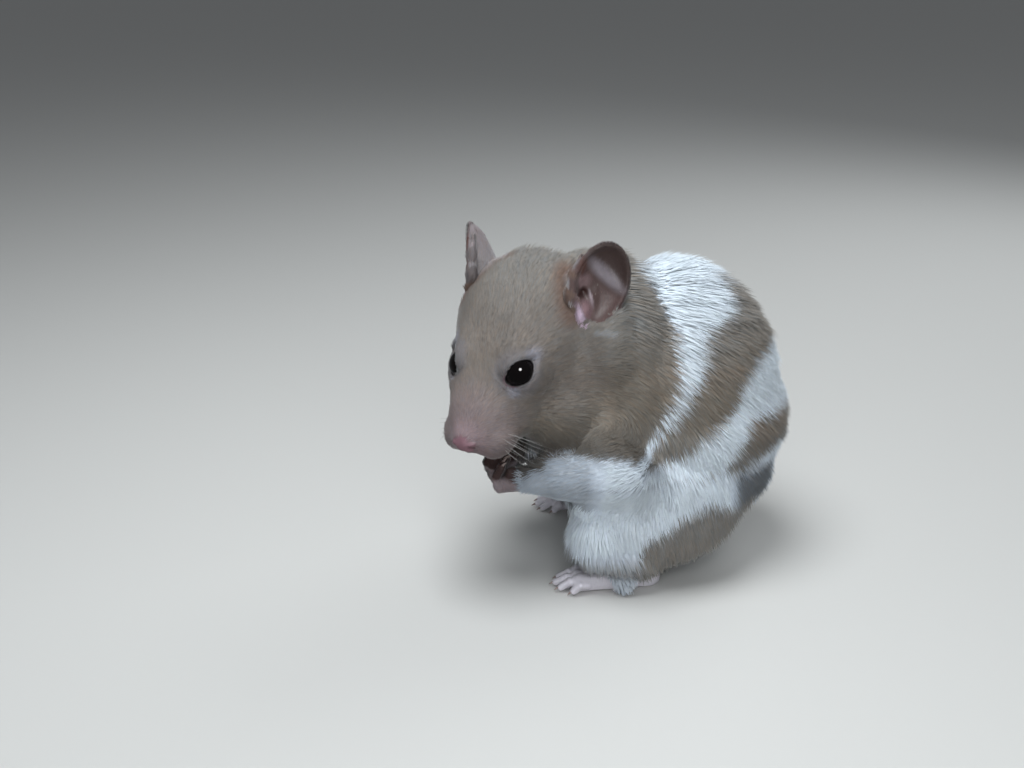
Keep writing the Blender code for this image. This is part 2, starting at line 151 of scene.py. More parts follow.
def mix(a, b, share):
    """a where the share is 0, b where it's 1, and between them elsewhere."""
    share = np.asarray(share)
    if np.ndim(share) and (np.ndim(a) > 1 or np.ndim(b) == 1 and np.shape(b) != share.shape):
        share = share[:, None]
    return a * (1 - share) + b * share


def unit(vectors):
    """The same ways at length 1."""
    return vectors / np.maximum(np.linalg.norm(vectors, axis=-1, keepdims=True), 1e-9)


def dot(a, b):
    """The dot product of each pair, as a column."""
    return (a * b).sum(-1, keepdims=True)


def far(points, place, stretch=1):
    """How far each point is from a place, in units of the stretch along each axis."""
    return np.linalg.norm((points - np.array(place)) / stretch, axis=1)


def left_half(at):
    """Points of the head's frame, with those on its right moved to the same place on its left."""
    return np.column_stack([np.abs(at[:, 0]), at[:, 1:]])


def hashed(cells, salt):
    """An even random number from 0 to 1 for each whole-numbered cell."""
    x, y, z = (cells[..., i].astype(np.int64) for i in range(3))
    n = x * 73856093 ^ y * 19349663 ^ z * 83492791 ^ (salt * 2654435761)
    n = (n ^ (n >> 13)) * 1274126177 & 0x7FFFFFFF
    n = (n ^ (n >> 16)) * 668265263 & 0x7FFFFFFF
    return (n % 100003) / 100003


def noise(points, size, salt):
    """Smooth noise from -1 to 1 whose lumps are about that size."""
    at = points / size
    low = np.floor(at).astype(np.int64)
    t = at - low
    t = t * t * (3 - 2 * t)
    total = np.zeros(len(points))
    for corner in np.ndindex(2, 2, 2):
        corner = np.array(corner)
        weight = np.prod(np.where(corner == 1, t, 1 - t), axis=1)
        total += weight * hashed(low + corner, salt)
    return total * 2 - 1


def curve(knots, values):
    """The second number of each knot, read at a value of the first."""
    knots = sorted(knots)
    return np.interp(values, [k[0] for k in knots], [k[1] for k in knots])


def around(count):
    """Angles all the way round."""
    return [number * math.tau / count for number in range(count)]


# --- Meshes -----------------------------------------------------------------------------------------
def new_object(name, mesh):
    obj = bpy.data.objects.new(name, mesh)
    bpy.context.scene.collection.objects.link(obj)
    return obj


def object_from(name, bm):
    """An object from a bmesh in millimetres."""
    mesh = bpy.data.meshes.new(name)
    bm.transform(Matrix.Scale(MM, 4))
    bm.to_mesh(mesh)
    bm.free()
    return new_object(name, mesh)


def settle(obj):
    """Applies an object's modifiers."""
    seen = obj.evaluated_get(bpy.context.evaluated_depsgraph_get())
    mesh = bpy.data.meshes.new_from_object(seen)
    obj.modifiers.clear()
    obj.data = mesh
    mesh.name = obj.name
    return obj


def remesh(obj, voxel):
    """Fuses everything in the object into one closed surface, and evens it."""
    change = obj.modifiers.new("fuse", "REMESH")
    change.mode = "VOXEL"
    change.voxel_size = voxel * MM
    even = obj.modifiers.new("even", "SMOOTH")
    even.factor = 0.5
    even.iterations = 2
    return settle(obj)


def points_of(mesh):
    """The places of a mesh's vertices in millimetres."""
    found = np.empty(len(mesh.vertices) * 3, np.float32)
    mesh.vertices.foreach_get("co", found)
    return found.reshape(-1, 3).astype(float) / MM


def set_points(mesh, points):
    """Moves a mesh's vertices to these places."""
    mesh.vertices.foreach_set("co", (points * MM).astype(np.float32).ravel())
    mesh.update()


def normals_of(mesh):
    """The way out of the surface at each vertex."""
    found = np.empty(len(mesh.vertices) * 3, np.float32)
    mesh.vertex_normals.foreach_get("vector", found)
    return found.reshape(-1, 3).astype(float)


def edges_of(mesh):
    """The two vertices of each edge."""
    found = np.empty(len(mesh.edges) * 2, np.int32)
    mesh.edges.foreach_get("vertices", found)
    return found.reshape(-1, 2)


def triangles_of(mesh):
    """The three vertices of each triangle."""
    mesh.calc_loop_triangles()
    found = np.empty(len(mesh.loop_triangles) * 3, np.int32)
    mesh.loop_triangles.foreach_get("vertices", found)
    return found.reshape(-1, 3)


def spread(values, edges, rounds):
    """Evens each vertex's value out over its neighbours."""
    values = np.array(values, float)
    flat = values.reshape(len(values), -1)
    a, b = edges.T
    count = np.maximum(np.bincount(edges.ravel(), minlength=len(flat)), 1)
    for _ in range(rounds):
        for column in range(flat.shape[1]):
            value = flat[:, column]
            total = np.bincount(a, value[b], len(value)) + np.bincount(b, value[a], len(value))
            flat[:, column] = (value + total / count) / 2
    return flat.reshape(values.shape)


def nearest(points, sources):
    """For each point, the number of the nearest source."""
    tree = KDTree(len(sources))
    for number, place in enumerate(sources):
        tree.insert(place, number)
    tree.balance()
    return np.array([tree.find(point)[1] for point in points])


def paint(mesh, colours):
    """Gives each vertex the colour that the materials read."""
    layer = mesh.color_attributes.new("tint", "FLOAT_COLOR", "POINT")
    full = np.column_stack([colours, np.ones(len(colours))])
    layer.data.foreach_set("color", full.astype(np.float32).ravel())


def take_in(bm, part):
    """Moves what one bmesh holds into another."""
    mesh = bpy.data.meshes.new("part")
    part.to_mesh(mesh)
    part.free()
    bm.from_mesh(mesh)
    bpy.data.meshes.remove(mesh)


def add_ball(bm, centre, radii, segments):
    """A ball, or an egg where the radii differ."""
    place = Matrix.Translation(centre) @ Matrix.Diagonal((*radii, 1))
    bmesh.ops.create_uvsphere(bm, u_segments=segments, v_segments=segments // 2, radius=1, matrix=place)


def add_taper(bm, start, start_radius, end, end_radius, segments):
    """The hull of two spheres: one length of a finger or toe."""
    part = bmesh.new()
    for centre, radius in ((start, start_radius), (end, end_radius)):
        add_ball(part, centre, (radius,) * 3, segments)
    hull = bmesh.ops.convex_hull(part, input=part.verts)
    inner = [item for item in hull["geom_interior"] if isinstance(item, bmesh.types.BMVert)]
    bmesh.ops.delete(part, geom=inner, context="VERTS")
    loose = [vert for vert in part.verts if not vert.link_faces]
    bmesh.ops.delete(part, geom=loose, context="VERTS")
    take_in(bm, part)


def join_rings(bm, rings):
    """The wall of a tube whose first end is closed."""
    bm.faces.new(rings[0])
    sides = len(rings[0])
    for here, after in zip(rings, rings[1:]):
        for i in range(sides):
            j = (i + 1) % sides
            bm.faces.new((here[j], here[i], after[i], after[j]))


# --- The coat by region -----------------------------------------------------------------------------
# How far it stands off the skin, how long a tuft is, how wide it is, and how many lie over each other.
COAT = {
    "back": (3.6, 7.4, 0.34, 13.5),
    "haunch": (3.2, 6.6, 0.33, 13.5),
    "neck": (3.0, 6.2, 0.31, 12.5),
    "cheek": (2.3, 4.8, 0.25, 10),
    "crown": (1.5, 3.4, 0.21, 9),
    "muzzle": (0.7, 1.7, 0.15, 6.5),
    "lid": (0.5, 1.2, 0.14, 6),
    "nose": (0.1, 0.8, 0.12, 5),
    "arm": (1.7, 3.8, 0.22, 10),
    "tail": (0.5, 1.4, 0.14, 5),
    "paw": (0.2, 0.9, 0.11, 2.0),
    "ear": (0.25, 0.9, 0.11, 2.4),
    "ear base": (0.9, 2.4, 0.18, 9),
    "ear back": (0.6, 1.8, 0.14, 7),
}
NODE_COAT = {
    "trunk": "back",
    "neck": "neck",
    "head": "crown",
    "hindleg_left": "haunch",
    "hindleg_right": "haunch",
    "foreleg_left": "arm",
    "foreleg_right": "arm",
    "tail": "tail",
}


def coat_in_head(points):
    """The coat's numbers on the head: short on the muzzle and lids, longer on the cheeks."""
    at = in_head(points)
    side, back, up = left_half(at).T
    changes = [
        ("cheek", smooth(3, 11, side) * smooth(1, -7, up) * smooth(-19, -6, back)),
        ("neck", smooth(2, 14, back) * 0.6),
        ("muzzle", smooth(17, 5, far(at, NOSE_PLACE))),
        ("lid", smooth(8.0, 4.2, far(left_half(at), EYE_PLACE))),
        ("nose", smooth(1.5, 0.9, nose_reach(at))),
    ]
    for ear in SIDES:
        _, back, _, radius, plain = ear_at(points, ear)
        close = smooth(-9, -7, back - plain)
        changes.append(("ear base", smooth(1.9, 1.05, radius) * smooth(4.0, 2.0, back - plain) * close))
        changes.append(("lid", smooth(1.05, 0.9, radius) * smooth(4.5, 3.0, back - plain) * close))
    found = np.tile(COAT["crown"], (len(at), 1)).astype(float)
    for kind, share in changes:
        found = mix(found, np.array(COAT[kind]), share)
    return found


LIE_SOURCE = Vector((3.0, -22.0, 60.0))  # the coat of the body flows from here, inside the head
LIE_SINK = Vector((-3.0, 33.0, 4.0))  # towards here, at the root of the tail


def lie_of(name, points):
    """Which way the coat lies over one node, before it's laid flat on the skin."""
    if name == "head":
        source = np.array(from_head(NOSE_PLACE + Vector((0, -2.5, 2))))
        return unit(points - source) + np.array((0, 0, -0.25))
    if name.startswith("foreleg"):
        side = name.split("_")[1]
        along = placed(FOREPAW[side][0]) - placed(ELBOW[side])
        return np.tile(unit(np.array(along)) + np.array((0, 0, -0.35)), (len(points), 1))
    if name == "tail":
        return np.tile((-0.45, 0.9, -0.1), (len(points), 1))
    flow = unit(points - np.array(LIE_SOURCE)) + 0.9 * unit(np.array(LIE_SINK) - points)
    if name.startswith("hindleg"):
        return unit(flow) * 0.35 + np.array((0.0, 0.05, -0.95))
    return flow + np.array((0.0, 0.0, -0.2))


# --- The ears ---------------------------------------------------------------------------------------
EAR_WIDTH = 12.8
EAR_SHIFT = 0.6  # towards the ear's rear edge
EAR_DEPTH = 4.4
EAR_THICK = 0.75
EAR_NARROW = 0.22  # the share of its width that the cup loses at its foot
EAR_NARROW_POWER = 1.3  # over 1 it loses it mostly near the foot
EAR_CURL = 0.3  # how far the tip turns forward, as a share of the depth
EAR_ROUND = 0.86  # under 1 the cup is shallower than a half ball
EAR_AHEAD = 0.4  # how far forward the cup is, as a share of the depth
EAR_RELIEF = (  # how far to the rear and how high a form's middle is, its two spreads, its turn and its rise
    (1.2, 11.8, 5.4, 1.3, -36.6, 0.85),  # the slanting fold
    (1.9, 14.6, 4.0, 1.9, -36.6, -0.45),  # the hollow over it
    (-2.5, 7.0, 1.2, 1.0, 20.0, -1.5),  # the canal
    (-0.5, 6.2, 1.9, 0.5, -68.0, 0.75),  # the thin fold behind the canal
    (-2.0, 3.3, 1.4, 1.6, 0.0, 0.85),  # the pad under it
    (-3.9, 11.6, 0.7, 3.2, 0.0, 0.35),  # the thick front edge
)
EAR_FLAP = (  # the bare ridge in front of the canal, from below
    ((-1.3, -0.6, -2.8), 0.6), ((-2.1, -0.8, -0.8), 0.75), ((-3.1, -0.9, 1.8), 0.8),
    ((-3.8, -0.8, 4.0), 0.6), ((-3.9, -0.7, 5.8), 0.35),
)
EAR_FLAP_IN = {"left": Vector((0, 0, 0)), "right": Vector((1.0, 0.9, 0))}  # how far in the flap is folded
EAR_ROOT = (  # the furred root behind the cup, from below
    ((0.0, 4.2, 0.0), 3.6), ((0.2, 4.2, 5.0), 2.8), ((0.3, 4.0, 8.5), 1.9),
)
EAR_RIDGE = (  # the furred edge in front of the cup, from below
    ((-3.8, 0.9, 1.5), 0.8), ((-5.6, 0.7, 6.0), 0.9), ((-5.7, 0.5, 10.5), 0.9), ((-4.8, 0.3, 14.5), 0.45),
)
EAR_BULGE = 3.2  # how much thicker the ear is at its root
EAR_RINGS = 30
EAR_SPOKES = 96


def ear_matrix(side):
    """The ear's own frame: +Z from its base to its tip, -Y out of the cup."""
    base, tip, faces = (Vector(point) for point in EARS[side])
    up = (tip - base).normalized()
    back = -(faces - faces.dot(up) * up).normalized()
    turn = Matrix((back.cross(up), back, up)).transposed().to_4x4()
    return HEAD @ Matrix.Translation(base) @ turn


def ear_height(side):
    base, tip = (Vector(point) for point in EARS[side][:2])
    return (tip - base).length


def narrowed(along):
    """How much of its width the cup has at a height from -1 at its foot to 1 at its tip."""
    return 1 - EAR_NARROW * np.maximum(0.0, -along) ** EAR_NARROW_POWER


def cup(radius, angle, height):
    """The plain cup: how far to the rear, back and up a point is that lies radius from its middle."""
    along = radius * np.sin(angle)
    curl = EAR_CURL * radius**4 * np.maximum(0.0, along / np.maximum(radius, 1e-6))
    depth = np.sqrt(np.maximum(0.0, 1 - EAR_ROUND * radius**2)) - curl - EAR_AHEAD
    rear = radius * np.cos(angle) * EAR_WIDTH / 2 * narrowed(along) + EAR_SHIFT
    return rear, EAR_DEPTH * depth, (along + 1) * height / 2


def ear_at(points, side):
    """Where points are to an ear's rear, back and up, how far out on its cup, and the cup's back there."""
    place = np.array(ear_matrix(side).inverted())
    at = points @ place[:3, :3].T + place[:3, 3]
    rear = at[:, 0] * SIGN[side]
    along = 2 * at[:, 2] / ear_height(side) - 1
    across = (rear - EAR_SHIFT) / (EAR_WIDTH / 2) / narrowed(along)
    radius = np.hypot(across, along)
    plain = cup(np.minimum(radius, 1.0), np.arctan2(along, across), ear_height(side))[1]
    return rear, at[:, 1], at[:, 2], radius, plain


def off_place(rear, up, place, turn):
    """How far along and aside of a line through a place of the cup, turned by so many degrees."""
    c, s = math.cos(math.radians(turn)), math.sin(math.radians(turn))
    rear, up = rear - place[0], up - place[1]
    return rear * c + up * s, up * c - rear * s


def folded(rear, back, up, radius):
    """How far back the inside of the cup is with its folds, where the plain cup is at back."""
    rise = 0
    for *place, long, wide, turn, high in EAR_RELIEF:
        along, aside = off_place(rear, up, place, turn)
        rise = rise + high * np.exp(-((along / long) ** 2) - (aside / wide) ** 2)
    return back - rise * smooth(1.0, 0.8, radius)


def ear_point(radius, angle, height):
    """A point of the cup: radius 0 at its middle to 1 at its rim, with the folds inside it."""
    rear, back, up = cup(radius, angle, height)
    rim = 0.3 * math.exp(-(((radius - 0.94) / 0.06) ** 2))
    return rear, folded(rear, back, up, radius) - rim, up


def ear_back_point(radius, angle, height):
    """A point of the ear's furred back, which the folds inside the cup don't dent."""
    rear, back, up = cup(radius, angle, height)
    bulge = EAR_BULGE * (1 - radius**2) * smooth(17, 4, up)
    thick = back + 0.5 * smooth(1.0, 0.85, radius)
    return rear, max(thick, folded(rear, back, up, radius) + 0.1) + bulge, up


def add_sheet(bm, shape, side, rings, place):
    """One sheet of an ear out to so many rings. Gives its last ring."""
    made = []
    height = ear_height(side)

    def corner(radius, angle):
        rear, back, up = shape(radius, angle, height)
        return bm.verts.new(place @ Vector((SIGN[side] * rear, back, up)))

    middle = corner(0, 0)
    for ring in range(1, rings + 1):
        made.append([corner(ring / EAR_RINGS, angle) for angle in around(EAR_SPOKES)])
    for spoke in range(EAR_SPOKES):
        after = (spoke + 1) % EAR_SPOKES
        bm.faces.new((middle, made[0][spoke], made[0][after]))
        for inner, outer in zip(made, made[1:]):
            bm.faces.new((inner[spoke], outer[spoke], outer[after], inner[after]))
    return made[-1]


def add_ear_chain(bm, side, chain, shift=(0, 0, 0), segments=16):
    """A chain of tapers in an ear's own frame."""
    place = ear_matrix(side)
    for (start, start_radius), (end, end_radius) in zip(chain, chain[1:]):
        start, end = (Vector(spot) + Vector(shift) for spot in (start, end))
        start, end = (place @ Vector((SIGN[side] * x, y, z)) for x, y, z in (start, end))
        add_taper(bm, start, start_radius, end, end_radius, segments)


def add_ear(bm, side):
    """A thin cup with a rolled rim, and the flap in front of its canal."""
    part = bmesh.new()
    add_sheet(part, ear_point, side, EAR_RINGS, Matrix())
    part.normal_update()
    sheet = object_from("cup", part)
    thick = sheet.modifiers.new("thickness", "SOLIDIFY")
    thick.thickness = EAR_THICK * MM
    thick.offset = 0.0
    settle(sheet)
    sheet.data.transform(Matrix.Scale(1 / MM, 4))
    sheet.data.transform(ear_matrix(side))
    bm.from_mesh(sheet.data)
    bpy.data.objects.remove(sheet)
    add_ear_chain(bm, side, EAR_FLAP, EAR_FLAP_IN[side], 14)


def add_ear_back(bm, side):
    """Fills the ear from its folds out to its back."""
    place = ear_matrix(side)
    inner, outer = (add_sheet(bm, shape, side, EAR_RINGS - 1, place) for shape in (ear_point, ear_back_point))
    for spoke in range(EAR_SPOKES):
        after = (spoke + 1) % EAR_SPOKES
        bm.faces.new((inner[spoke], outer[spoke], outer[after], inner[after]))
    bmesh.ops.recalc_face_normals(bm, faces=bm.faces)


def add_ear_root(bm, side):
    """The thick, furred root that an ear rises from, behind its cup."""
    add_ear_chain(bm, side, EAR_ROOT)


def add_ear_ridge(bm, side):
    """The furred edge that covers the front of the cup's rim."""
    add_ear_chain(bm, side, EAR_RIDGE)


# --- The paws and feet ------------------------------------------------------------------------------
FINGER_SPREAD = 1.5
FINGER_RADII = (0.9, 0.7)
TOE_SPREAD = 1.7
TOE_LONG = 5.6
TOE_RADII = (1.1, 0.85)
TOE_ARC = 0.45  # how far the outer toes start further back
TOE_FAN = 0.14  # how far they point outwards
TOE_SHORTER = 0.09


def paw_places(side):
    """The wrist, the knuckles' middle and the fingertips' middle."""
    return [placed(point) for point in FOREPAW[side]]


def sole_places(side):
    """The heel and the ball of the foot."""
    return [placed((SIGN[side] * x, y, z)) for x, y, z in (HEEL, TOE_BALL)]


def fingers(side):
    """Root, middle joint and tip of each finger."""
    wrist, knuckles, tips = paw_places(side)
    along = (knuckles - wrist).normalized()
    curl = tips - knuckles
    across = along.cross(curl).normalized()
    for finger in range(4):
        place = finger - 1.5
        root = knuckles + across * place * FINGER_SPREAD - along * 0.35 * abs(place)
        middle = root + curl * 0.45 + along * 1.6
        tip = root + curl * (1 - 0.07 * abs(place)) + along * 0.2 - across * place * 0.25
        yield root, middle, tip


def toes(side):
    """Root, middle joint and tip of each toe."""
    heel, ball = sole_places(side)
    along = (ball - heel).normalized()
    across = Vector((0, 0, 1)).cross(along).normalized()
    for toe in range(5):
        place = toe - 2
        root = ball + across * place * TOE_SPREAD - along * TOE_ARC * place**2
        fan = along + across * place * TOE_FAN
        length = TOE_LONG * (1 - TOE_SHORTER * place**2)
        middle = root + fan * length * 0.55 + Vector((0, 0, 0.25))
        yield root, middle, root + fan * length - Vector((0, 0, 0.9))


def add_digits(bm, digits, radii):
    """Fingers or toes, each with its knuckle."""
    for root, middle, tip in digits:
        add_taper(bm, root, radii[0], middle, radii[0] * 0.88, 14)
        add_taper(bm, middle, radii[0] * 0.88, tip, radii[1], 14)
        add_ball(bm, middle, (radii[0],) * 3, 14)


def add_forepaw(bm, side):
    """The palm with its ball and two pads, and the fingers."""
    wrist, knuckles, tips = paw_places(side)
    along = (knuckles - wrist).normalized()
    curl = (tips - knuckles).normalized()
    across = along.cross(curl).normalized()
    add_taper(bm, wrist, 2.4, knuckles, 1.9, 18)
    add_ball(bm, (wrist + knuckles) / 2 + curl * 1.9, (1.8, 1.8, 1.8), 16)
    for place in (-1, 1):
        add_ball(bm, wrist + along * 1.6 + curl * 1.5 + across * place * 1.1, (1.1, 1.1, 1.1), 14)
    add_digits(bm, fingers(side), FINGER_RADII)


def add_hindfoot(bm, side):
    """The flat sole and the toes."""
    heel, ball = sole_places(side)
    across = Vector((0, 0, 1)).cross(ball - heel).normalized()
    for shift in (-2, 0, 2):
        add_taper(bm, heel, 2.7, ball + across * shift, 2.1, 18)
    add_digits(bm, toes(side), TOE_RADII)


# --- The eyes and lids ------------------------------------------------------------------------------
OPEN_FRONT = 3.7  # how far the lids' opening reaches from the eye's axis: to its corners and to either side
OPEN_BACK = 3.4
OPEN_LOW = 2.7
OPEN_HIGH = 2.3
OPEN_POWER = 1.65  # under 2 the corners are pointed
FLESH_HIGH = 0.9  # how high over the ball's middle the flesh is, past the ball's edge
CORNEA = 0.06  # how strongly the cornea stands proud of the ball
LID_SPOKES = 96
SOCKET_SPOKES = 48
SOCKET = {  # how far past the lids' edge, and how high over the ball there
    "left": (
        (-0.2, -2.6), (-0.15, -0.2), (0.1, 0.05), (0.6, 0.05), (1.2, -0.4), (2.2, -1.6), (3.4, -3.0),
        (3.2, -4.0),
    ),
    "right": (
        (-0.2, -2.6), (-0.15, -0.2), (0.1, 0.05), (0.6, 0.1), (1.2, -0.1), (2.2, -0.75), (3.4, -1.8),
        (4.6, -3.3), (3.6, -4.6),
    ),
}
LID = (  # the same for the lids
    (-0.5, -0.25), (-0.12, -0.02), (0.02, 0.12), (0.14, 0.19), (0.30, 0.18), (0.55, 0.05), (0.8, -0.2),
    (0.7, -0.6),
)


def opening(angle):
    """The distance from the eye's axis to the lids' edge."""
    x, y = np.cos(angle), np.sin(angle)
    long = np.where(x > 0, OPEN_FRONT, OPEN_BACK)
    wide = np.where(y > 0, OPEN_LOW, OPEN_HIGH)
    return (np.abs(x / long) ** OPEN_POWER + np.abs(y / wide) ** OPEN_POWER) ** (-1 / OPEN_POWER)


def past_lids(points, side):
    """How far outside the lids' edge each point is, seen along the eye's axis. Far ones count as outside."""
    x, y, z = in_eye(points, side).T
    past = np.hypot(x, y) - opening(np.arctan2(y, x))
    return np.where(z < -2.5, 9.0, past)


def ball_height(radius):
    """How high over its middle the ball is, or the flesh past its edge, at a distance from its axis."""
    return math.sqrt(max(EYE_RADIUS**2 - radius**2, FLESH_HIGH**2))


def add_ring(bm, side, section, spokes):
    """A ring round an eye whose section is given outwards from the lids' edge and up from the ball there."""
    rings = []
    for angle in around(spokes):
        edge = float(opening(angle))
        height = ball_height(edge)
        ring = []
        for past, up in section:
            spot = ((edge + past) * math.cos(angle), (edge + past) * math.sin(angle), height + up)
            ring.append(bm.verts.new(eye_point(side, spot)))
        rings.append(ring)
    for here, after in zip(rings, rings[1:] + rings[:1]):
        for i in range(len(section)):
            j = (i + 1) % len(section)
            bm.faces.new((here[i], after[i], after[j], here[j]))
    bmesh.ops.recalc_face_normals(bm, faces=bm.faces)


def add_socket(bm, side):
    """The flesh that the lids lie on, which fills the cup round the ball."""
    add_ring(bm, side, SOCKET[side], SOCKET_SPOKES)


def make_eye(side, look):
    """The ball with its cornea."""
    bm = bmesh.new()
    bmesh.ops.create_uvsphere(bm, u_segments=72, v_segments=48, radius=1)
    for vert in bm.verts:
        vert.co *= 1 + CORNEA * max(0.0, vert.co.z - 0.55) ** 2
    for vert in bm.verts:
        vert.co = eye_point(side, vert.co * EYE_RADIUS)
    bmesh.ops.recalc_face_normals(bm, faces=bm.faces)
    eye = object_from(f"eyeball_{side}", bm)
    eye.data.shade_smooth()
    eye.data.materials.append(look)
    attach(eye, "root")
    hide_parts(f"eye_{side}")


# --- The skin ---------------------------------------------------------------------------------------
SWELL = 0.25  # closes the thin cuts between the solids
SHELL_VOXEL = 0.8
SKIN_VOXEL = 0.34
FIELD_ROUNDS = 45  # how often the lie is evened out over the shell


def open_ears(points):
    """Presses the head's skin back behind the cups, so that it doesn't fill their mouths."""
    points = points.copy()
    for side in SIDES:
        _, back, _, radius, plain = ear_at(points, side)
        push = np.clip(plain + 1.2 - back, 0, 6) * smooth(1.0, 0.86, radius) * (back > plain - 7)
        points += push[:, None] * np.array(ear_matrix(side).to_3x3() @ Vector((0, 1, 0)))
    return points


def outer_shell():
    """The flesh's solids as one surface, with each vertex's node, and the coat's numbers and lie there."""
    bm = bmesh.new()
    for name in FLESH:
        bm.from_mesh(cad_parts[name].data)
    bmesh.ops.remove_doubles(bm, verts=bm.verts, dist=1e-6)
    bm.normal_update()
    for vert in bm.verts:
        vert.co += vert.normal * SWELL * MM
    bm.transform(Matrix.Scale(1 / MM, 4))
    shell = remesh(object_from("shell", bm), SHELL_VOXEL)
    points = points_of(shell.data)
    sources = [points_of(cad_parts[name].data) for name in FLESH]
    owner = np.repeat(np.arange(len(FLESH)), [len(spots) for spots in sources])
    region = owner[nearest(points, np.concatenate(sources))]
    coat = np.zeros((len(points), 4))
    lie = np.zeros((len(points), 3))
    for number, name in enumerate(FLESH):
        mine = region == number
        coat[mine] = coat_in_head(points[mine]) if name == "head" else COAT[NODE_COAT[name]]
        lie[mine] = unit(lie_of(name, points[mine]))
    edges = edges_of(shell.data)
    return shell, region, spread(coat, edges, 14), spread(lie, edges, FIELD_ROUNDS)


def bare_parts(side):
    """What the skin takes in beside the flesh: name, how it's drawn, its coat and the coat's lie."""
    wrist, _, tips = paw_places(side)
    ear = ear_matrix(side).to_3x3()
    up = ear @ Vector((0, 0, 1))
    return (
        ("ear", add_ear, "ear", up),
        ("root", add_ear_root, "ear base", up),
        ("earback", add_ear_back, "ear back", up),
        ("ridge", add_ear_ridge, "ear back", ear @ Vector((0, 0.2, 1))),
        ("forepaw", add_forepaw, "paw", tips - wrist),
        ("hindfoot", add_hindfoot, "paw", Vector((0, -1, -0.3))),
    )


def make_skin():
    """One surface for all flesh, with the regions' names, and each vertex's region, coat and lie."""
    shell, node, coat, lie = outer_shell()
    points = points_of(shell.data)
    under = points - spread(normals_of(shell.data), edges_of(shell.data), 3) * (coat[:, :1] + SWELL)
    under = open_ears(under)
    set_points(shell.data, under)
    names, sources, owner, coats, lies = list(FLESH), [under], [node], [coat], [lie]
    bm = bmesh.new()
    bm.from_mesh(shell.data)
    bm.transform(Matrix.Scale(1 / MM, 4))
    bpy.data.objects.remove(shell)
    for side in SIDES:
        for name, draw, kind, along in bare_parts(side):
            part = bmesh.new()
            draw(part, side)
            spots = np.array([vert.co for vert in part.verts])
            take_in(bm, part)
            owner.append(np.full(len(spots), len(names)))
            names.append(f"{name}_{side}")
            sources.append(spots)
            coats.append(np.tile(COAT[kind], (len(spots), 1)).astype(float))
            lies.append(np.tile(along, (len(spots), 1)))
    for side in SIDES:
        part = bmesh.new()
        add_socket(part, side)
        take_in(bm, part)
    skin = remesh(object_from("skin", bm), SKIN_VOXEL)
    near = nearest(points_of(skin.data), np.concatenate(sources))
    edges = edges_of(skin.data)
    coat = spread(np.concatenate(coats)[near], edges, 8)
    lie = spread(np.concatenate(lies)[near], edges, 10)
    return skin, names, np.concatenate(owner)[near], coat, lie


# --- Markings ---------------------------------------------------------------------------------------
# The white band over the shoulders lies between two edges: height, then how far back the edge is there.
BAND_FRONT = (
    (78, 2.0), (75, 3.0), (70, 6.4), (66, 8.4), (63, 10.6), (55, 10.6), (50, 10.6), (45, 8.4), (41, 6.2),
    (37, 2.0), (34, -2),
)
BAND_BACK = (
    (78, 18), (74, 20), (71, 22.4), (69, 23.6), (66, 24.2), (64.4, 20.4), (62.5, 16.6), (59, 16.3),
    (54, 15.3), (50, 13.4), (46, 11.3), (41, 8.0), (38, 5.2), (34, 2),
)
# The other edges give how far back, then the height there. The coat is white below the first.
# Its front end runs low, so that the fur under the jaw is brown: painted shade over white fur.
WHITE_BELOW = (
    (-45, 26), (-25, 27), (-20, 32), (-16, 36), (-5, 37), (-1, 36.3), (1.5, 34), (7, 33.6), (12, 35),
    (15, 37.6), (19.5, 41), (23.7, 44.5), (25.2, 48.6), (27, 51.7), (29.4, 54.4), (34.5, 56), (44, 57),
)
RUMP_PATCH_TOP = ((20, 29.8), (21.6, 29.8), (23.7, 33.9), (26.4, 38.3), (27.8, 41.9), (36, 42), (45, 41))
RUMP_PATCH_LOW = ((20, 30.5), (21.6, 29.8), (26.2, 29.4), (30.3, 31), (35, 33), (45, 33))
RUMP_PATCH_END = -1.5  # the rump's patch is on the left, and ends just past the spine
LOW_PATCH_TOP = (
    (2, 8), (2.9, 14.3), (7.5, 17.4), (10.8, 21), (14.4, 22.5), (18, 23.8), (24.3, 22), (32, 20), (45, 18),
)
LOW_PATCH_FRONT = 2.4
LOW_PATCH_INNER = 11  # how far from the middle plane it ends under the belly
BAND_EDGE = 0.9  # half the width over which brown turns to white
CHIN = -20.2  # in the head's frame: under this height the jaw is white
RIGHT_BACK = 2.5  # how far further back the right side's edges are


def white_share(points, shake):
    """1 where the coat is white and 0 where it's brown. shake moves the edge, in millimetres."""
    x, y, z = points.T
    right = smooth(6, -6, x)
    wave = noise(points, 9.0, 3) * 1.2 * right
    y = y - RIGHT_BACK * right + wave * 1.6
    z = z + wave * 1.6
    band = np.minimum(y - curve(BAND_FRONT, z), curve(BAND_BACK, z) - y)
    below = (curve(WHITE_BELOW, y) - z) * 0.8
    rump = np.minimum(z - curve(RUMP_PATCH_LOW, y), curve(RUMP_PATCH_TOP, y) - z)
    rump = np.minimum(rump, x - RUMP_PATCH_END + noise(points, 5.0, 8) * 2.5)
    low = np.minimum(curve(LOW_PATCH_TOP, y) - z, y - LOW_PATCH_FRONT)
    low = np.minimum(low, np.abs(x) - LOW_PATCH_INNER + noise(points, 6.0, 9) * 3)
    white = np.minimum(np.maximum(band, below), -np.maximum(rump, low))
    at = in_head(points)
    chin = CHIN - at[:, 2] - 8 * smooth(-14, -6, at[:, 1]) - 6 * smooth(-21, -24, at[:, 1])
    head = smooth(1.06, 0.98, far(at, HEAD_MIDDLE, HEAD_RADII))
    white = mix(white, np.minimum(np.minimum(chin, 4), white + 6), head)
    return smooth(-BAND_EDGE, BAND_EDGE, white + shake)


def colour(red, green, blue):
    return np.array((red, green, blue), float)


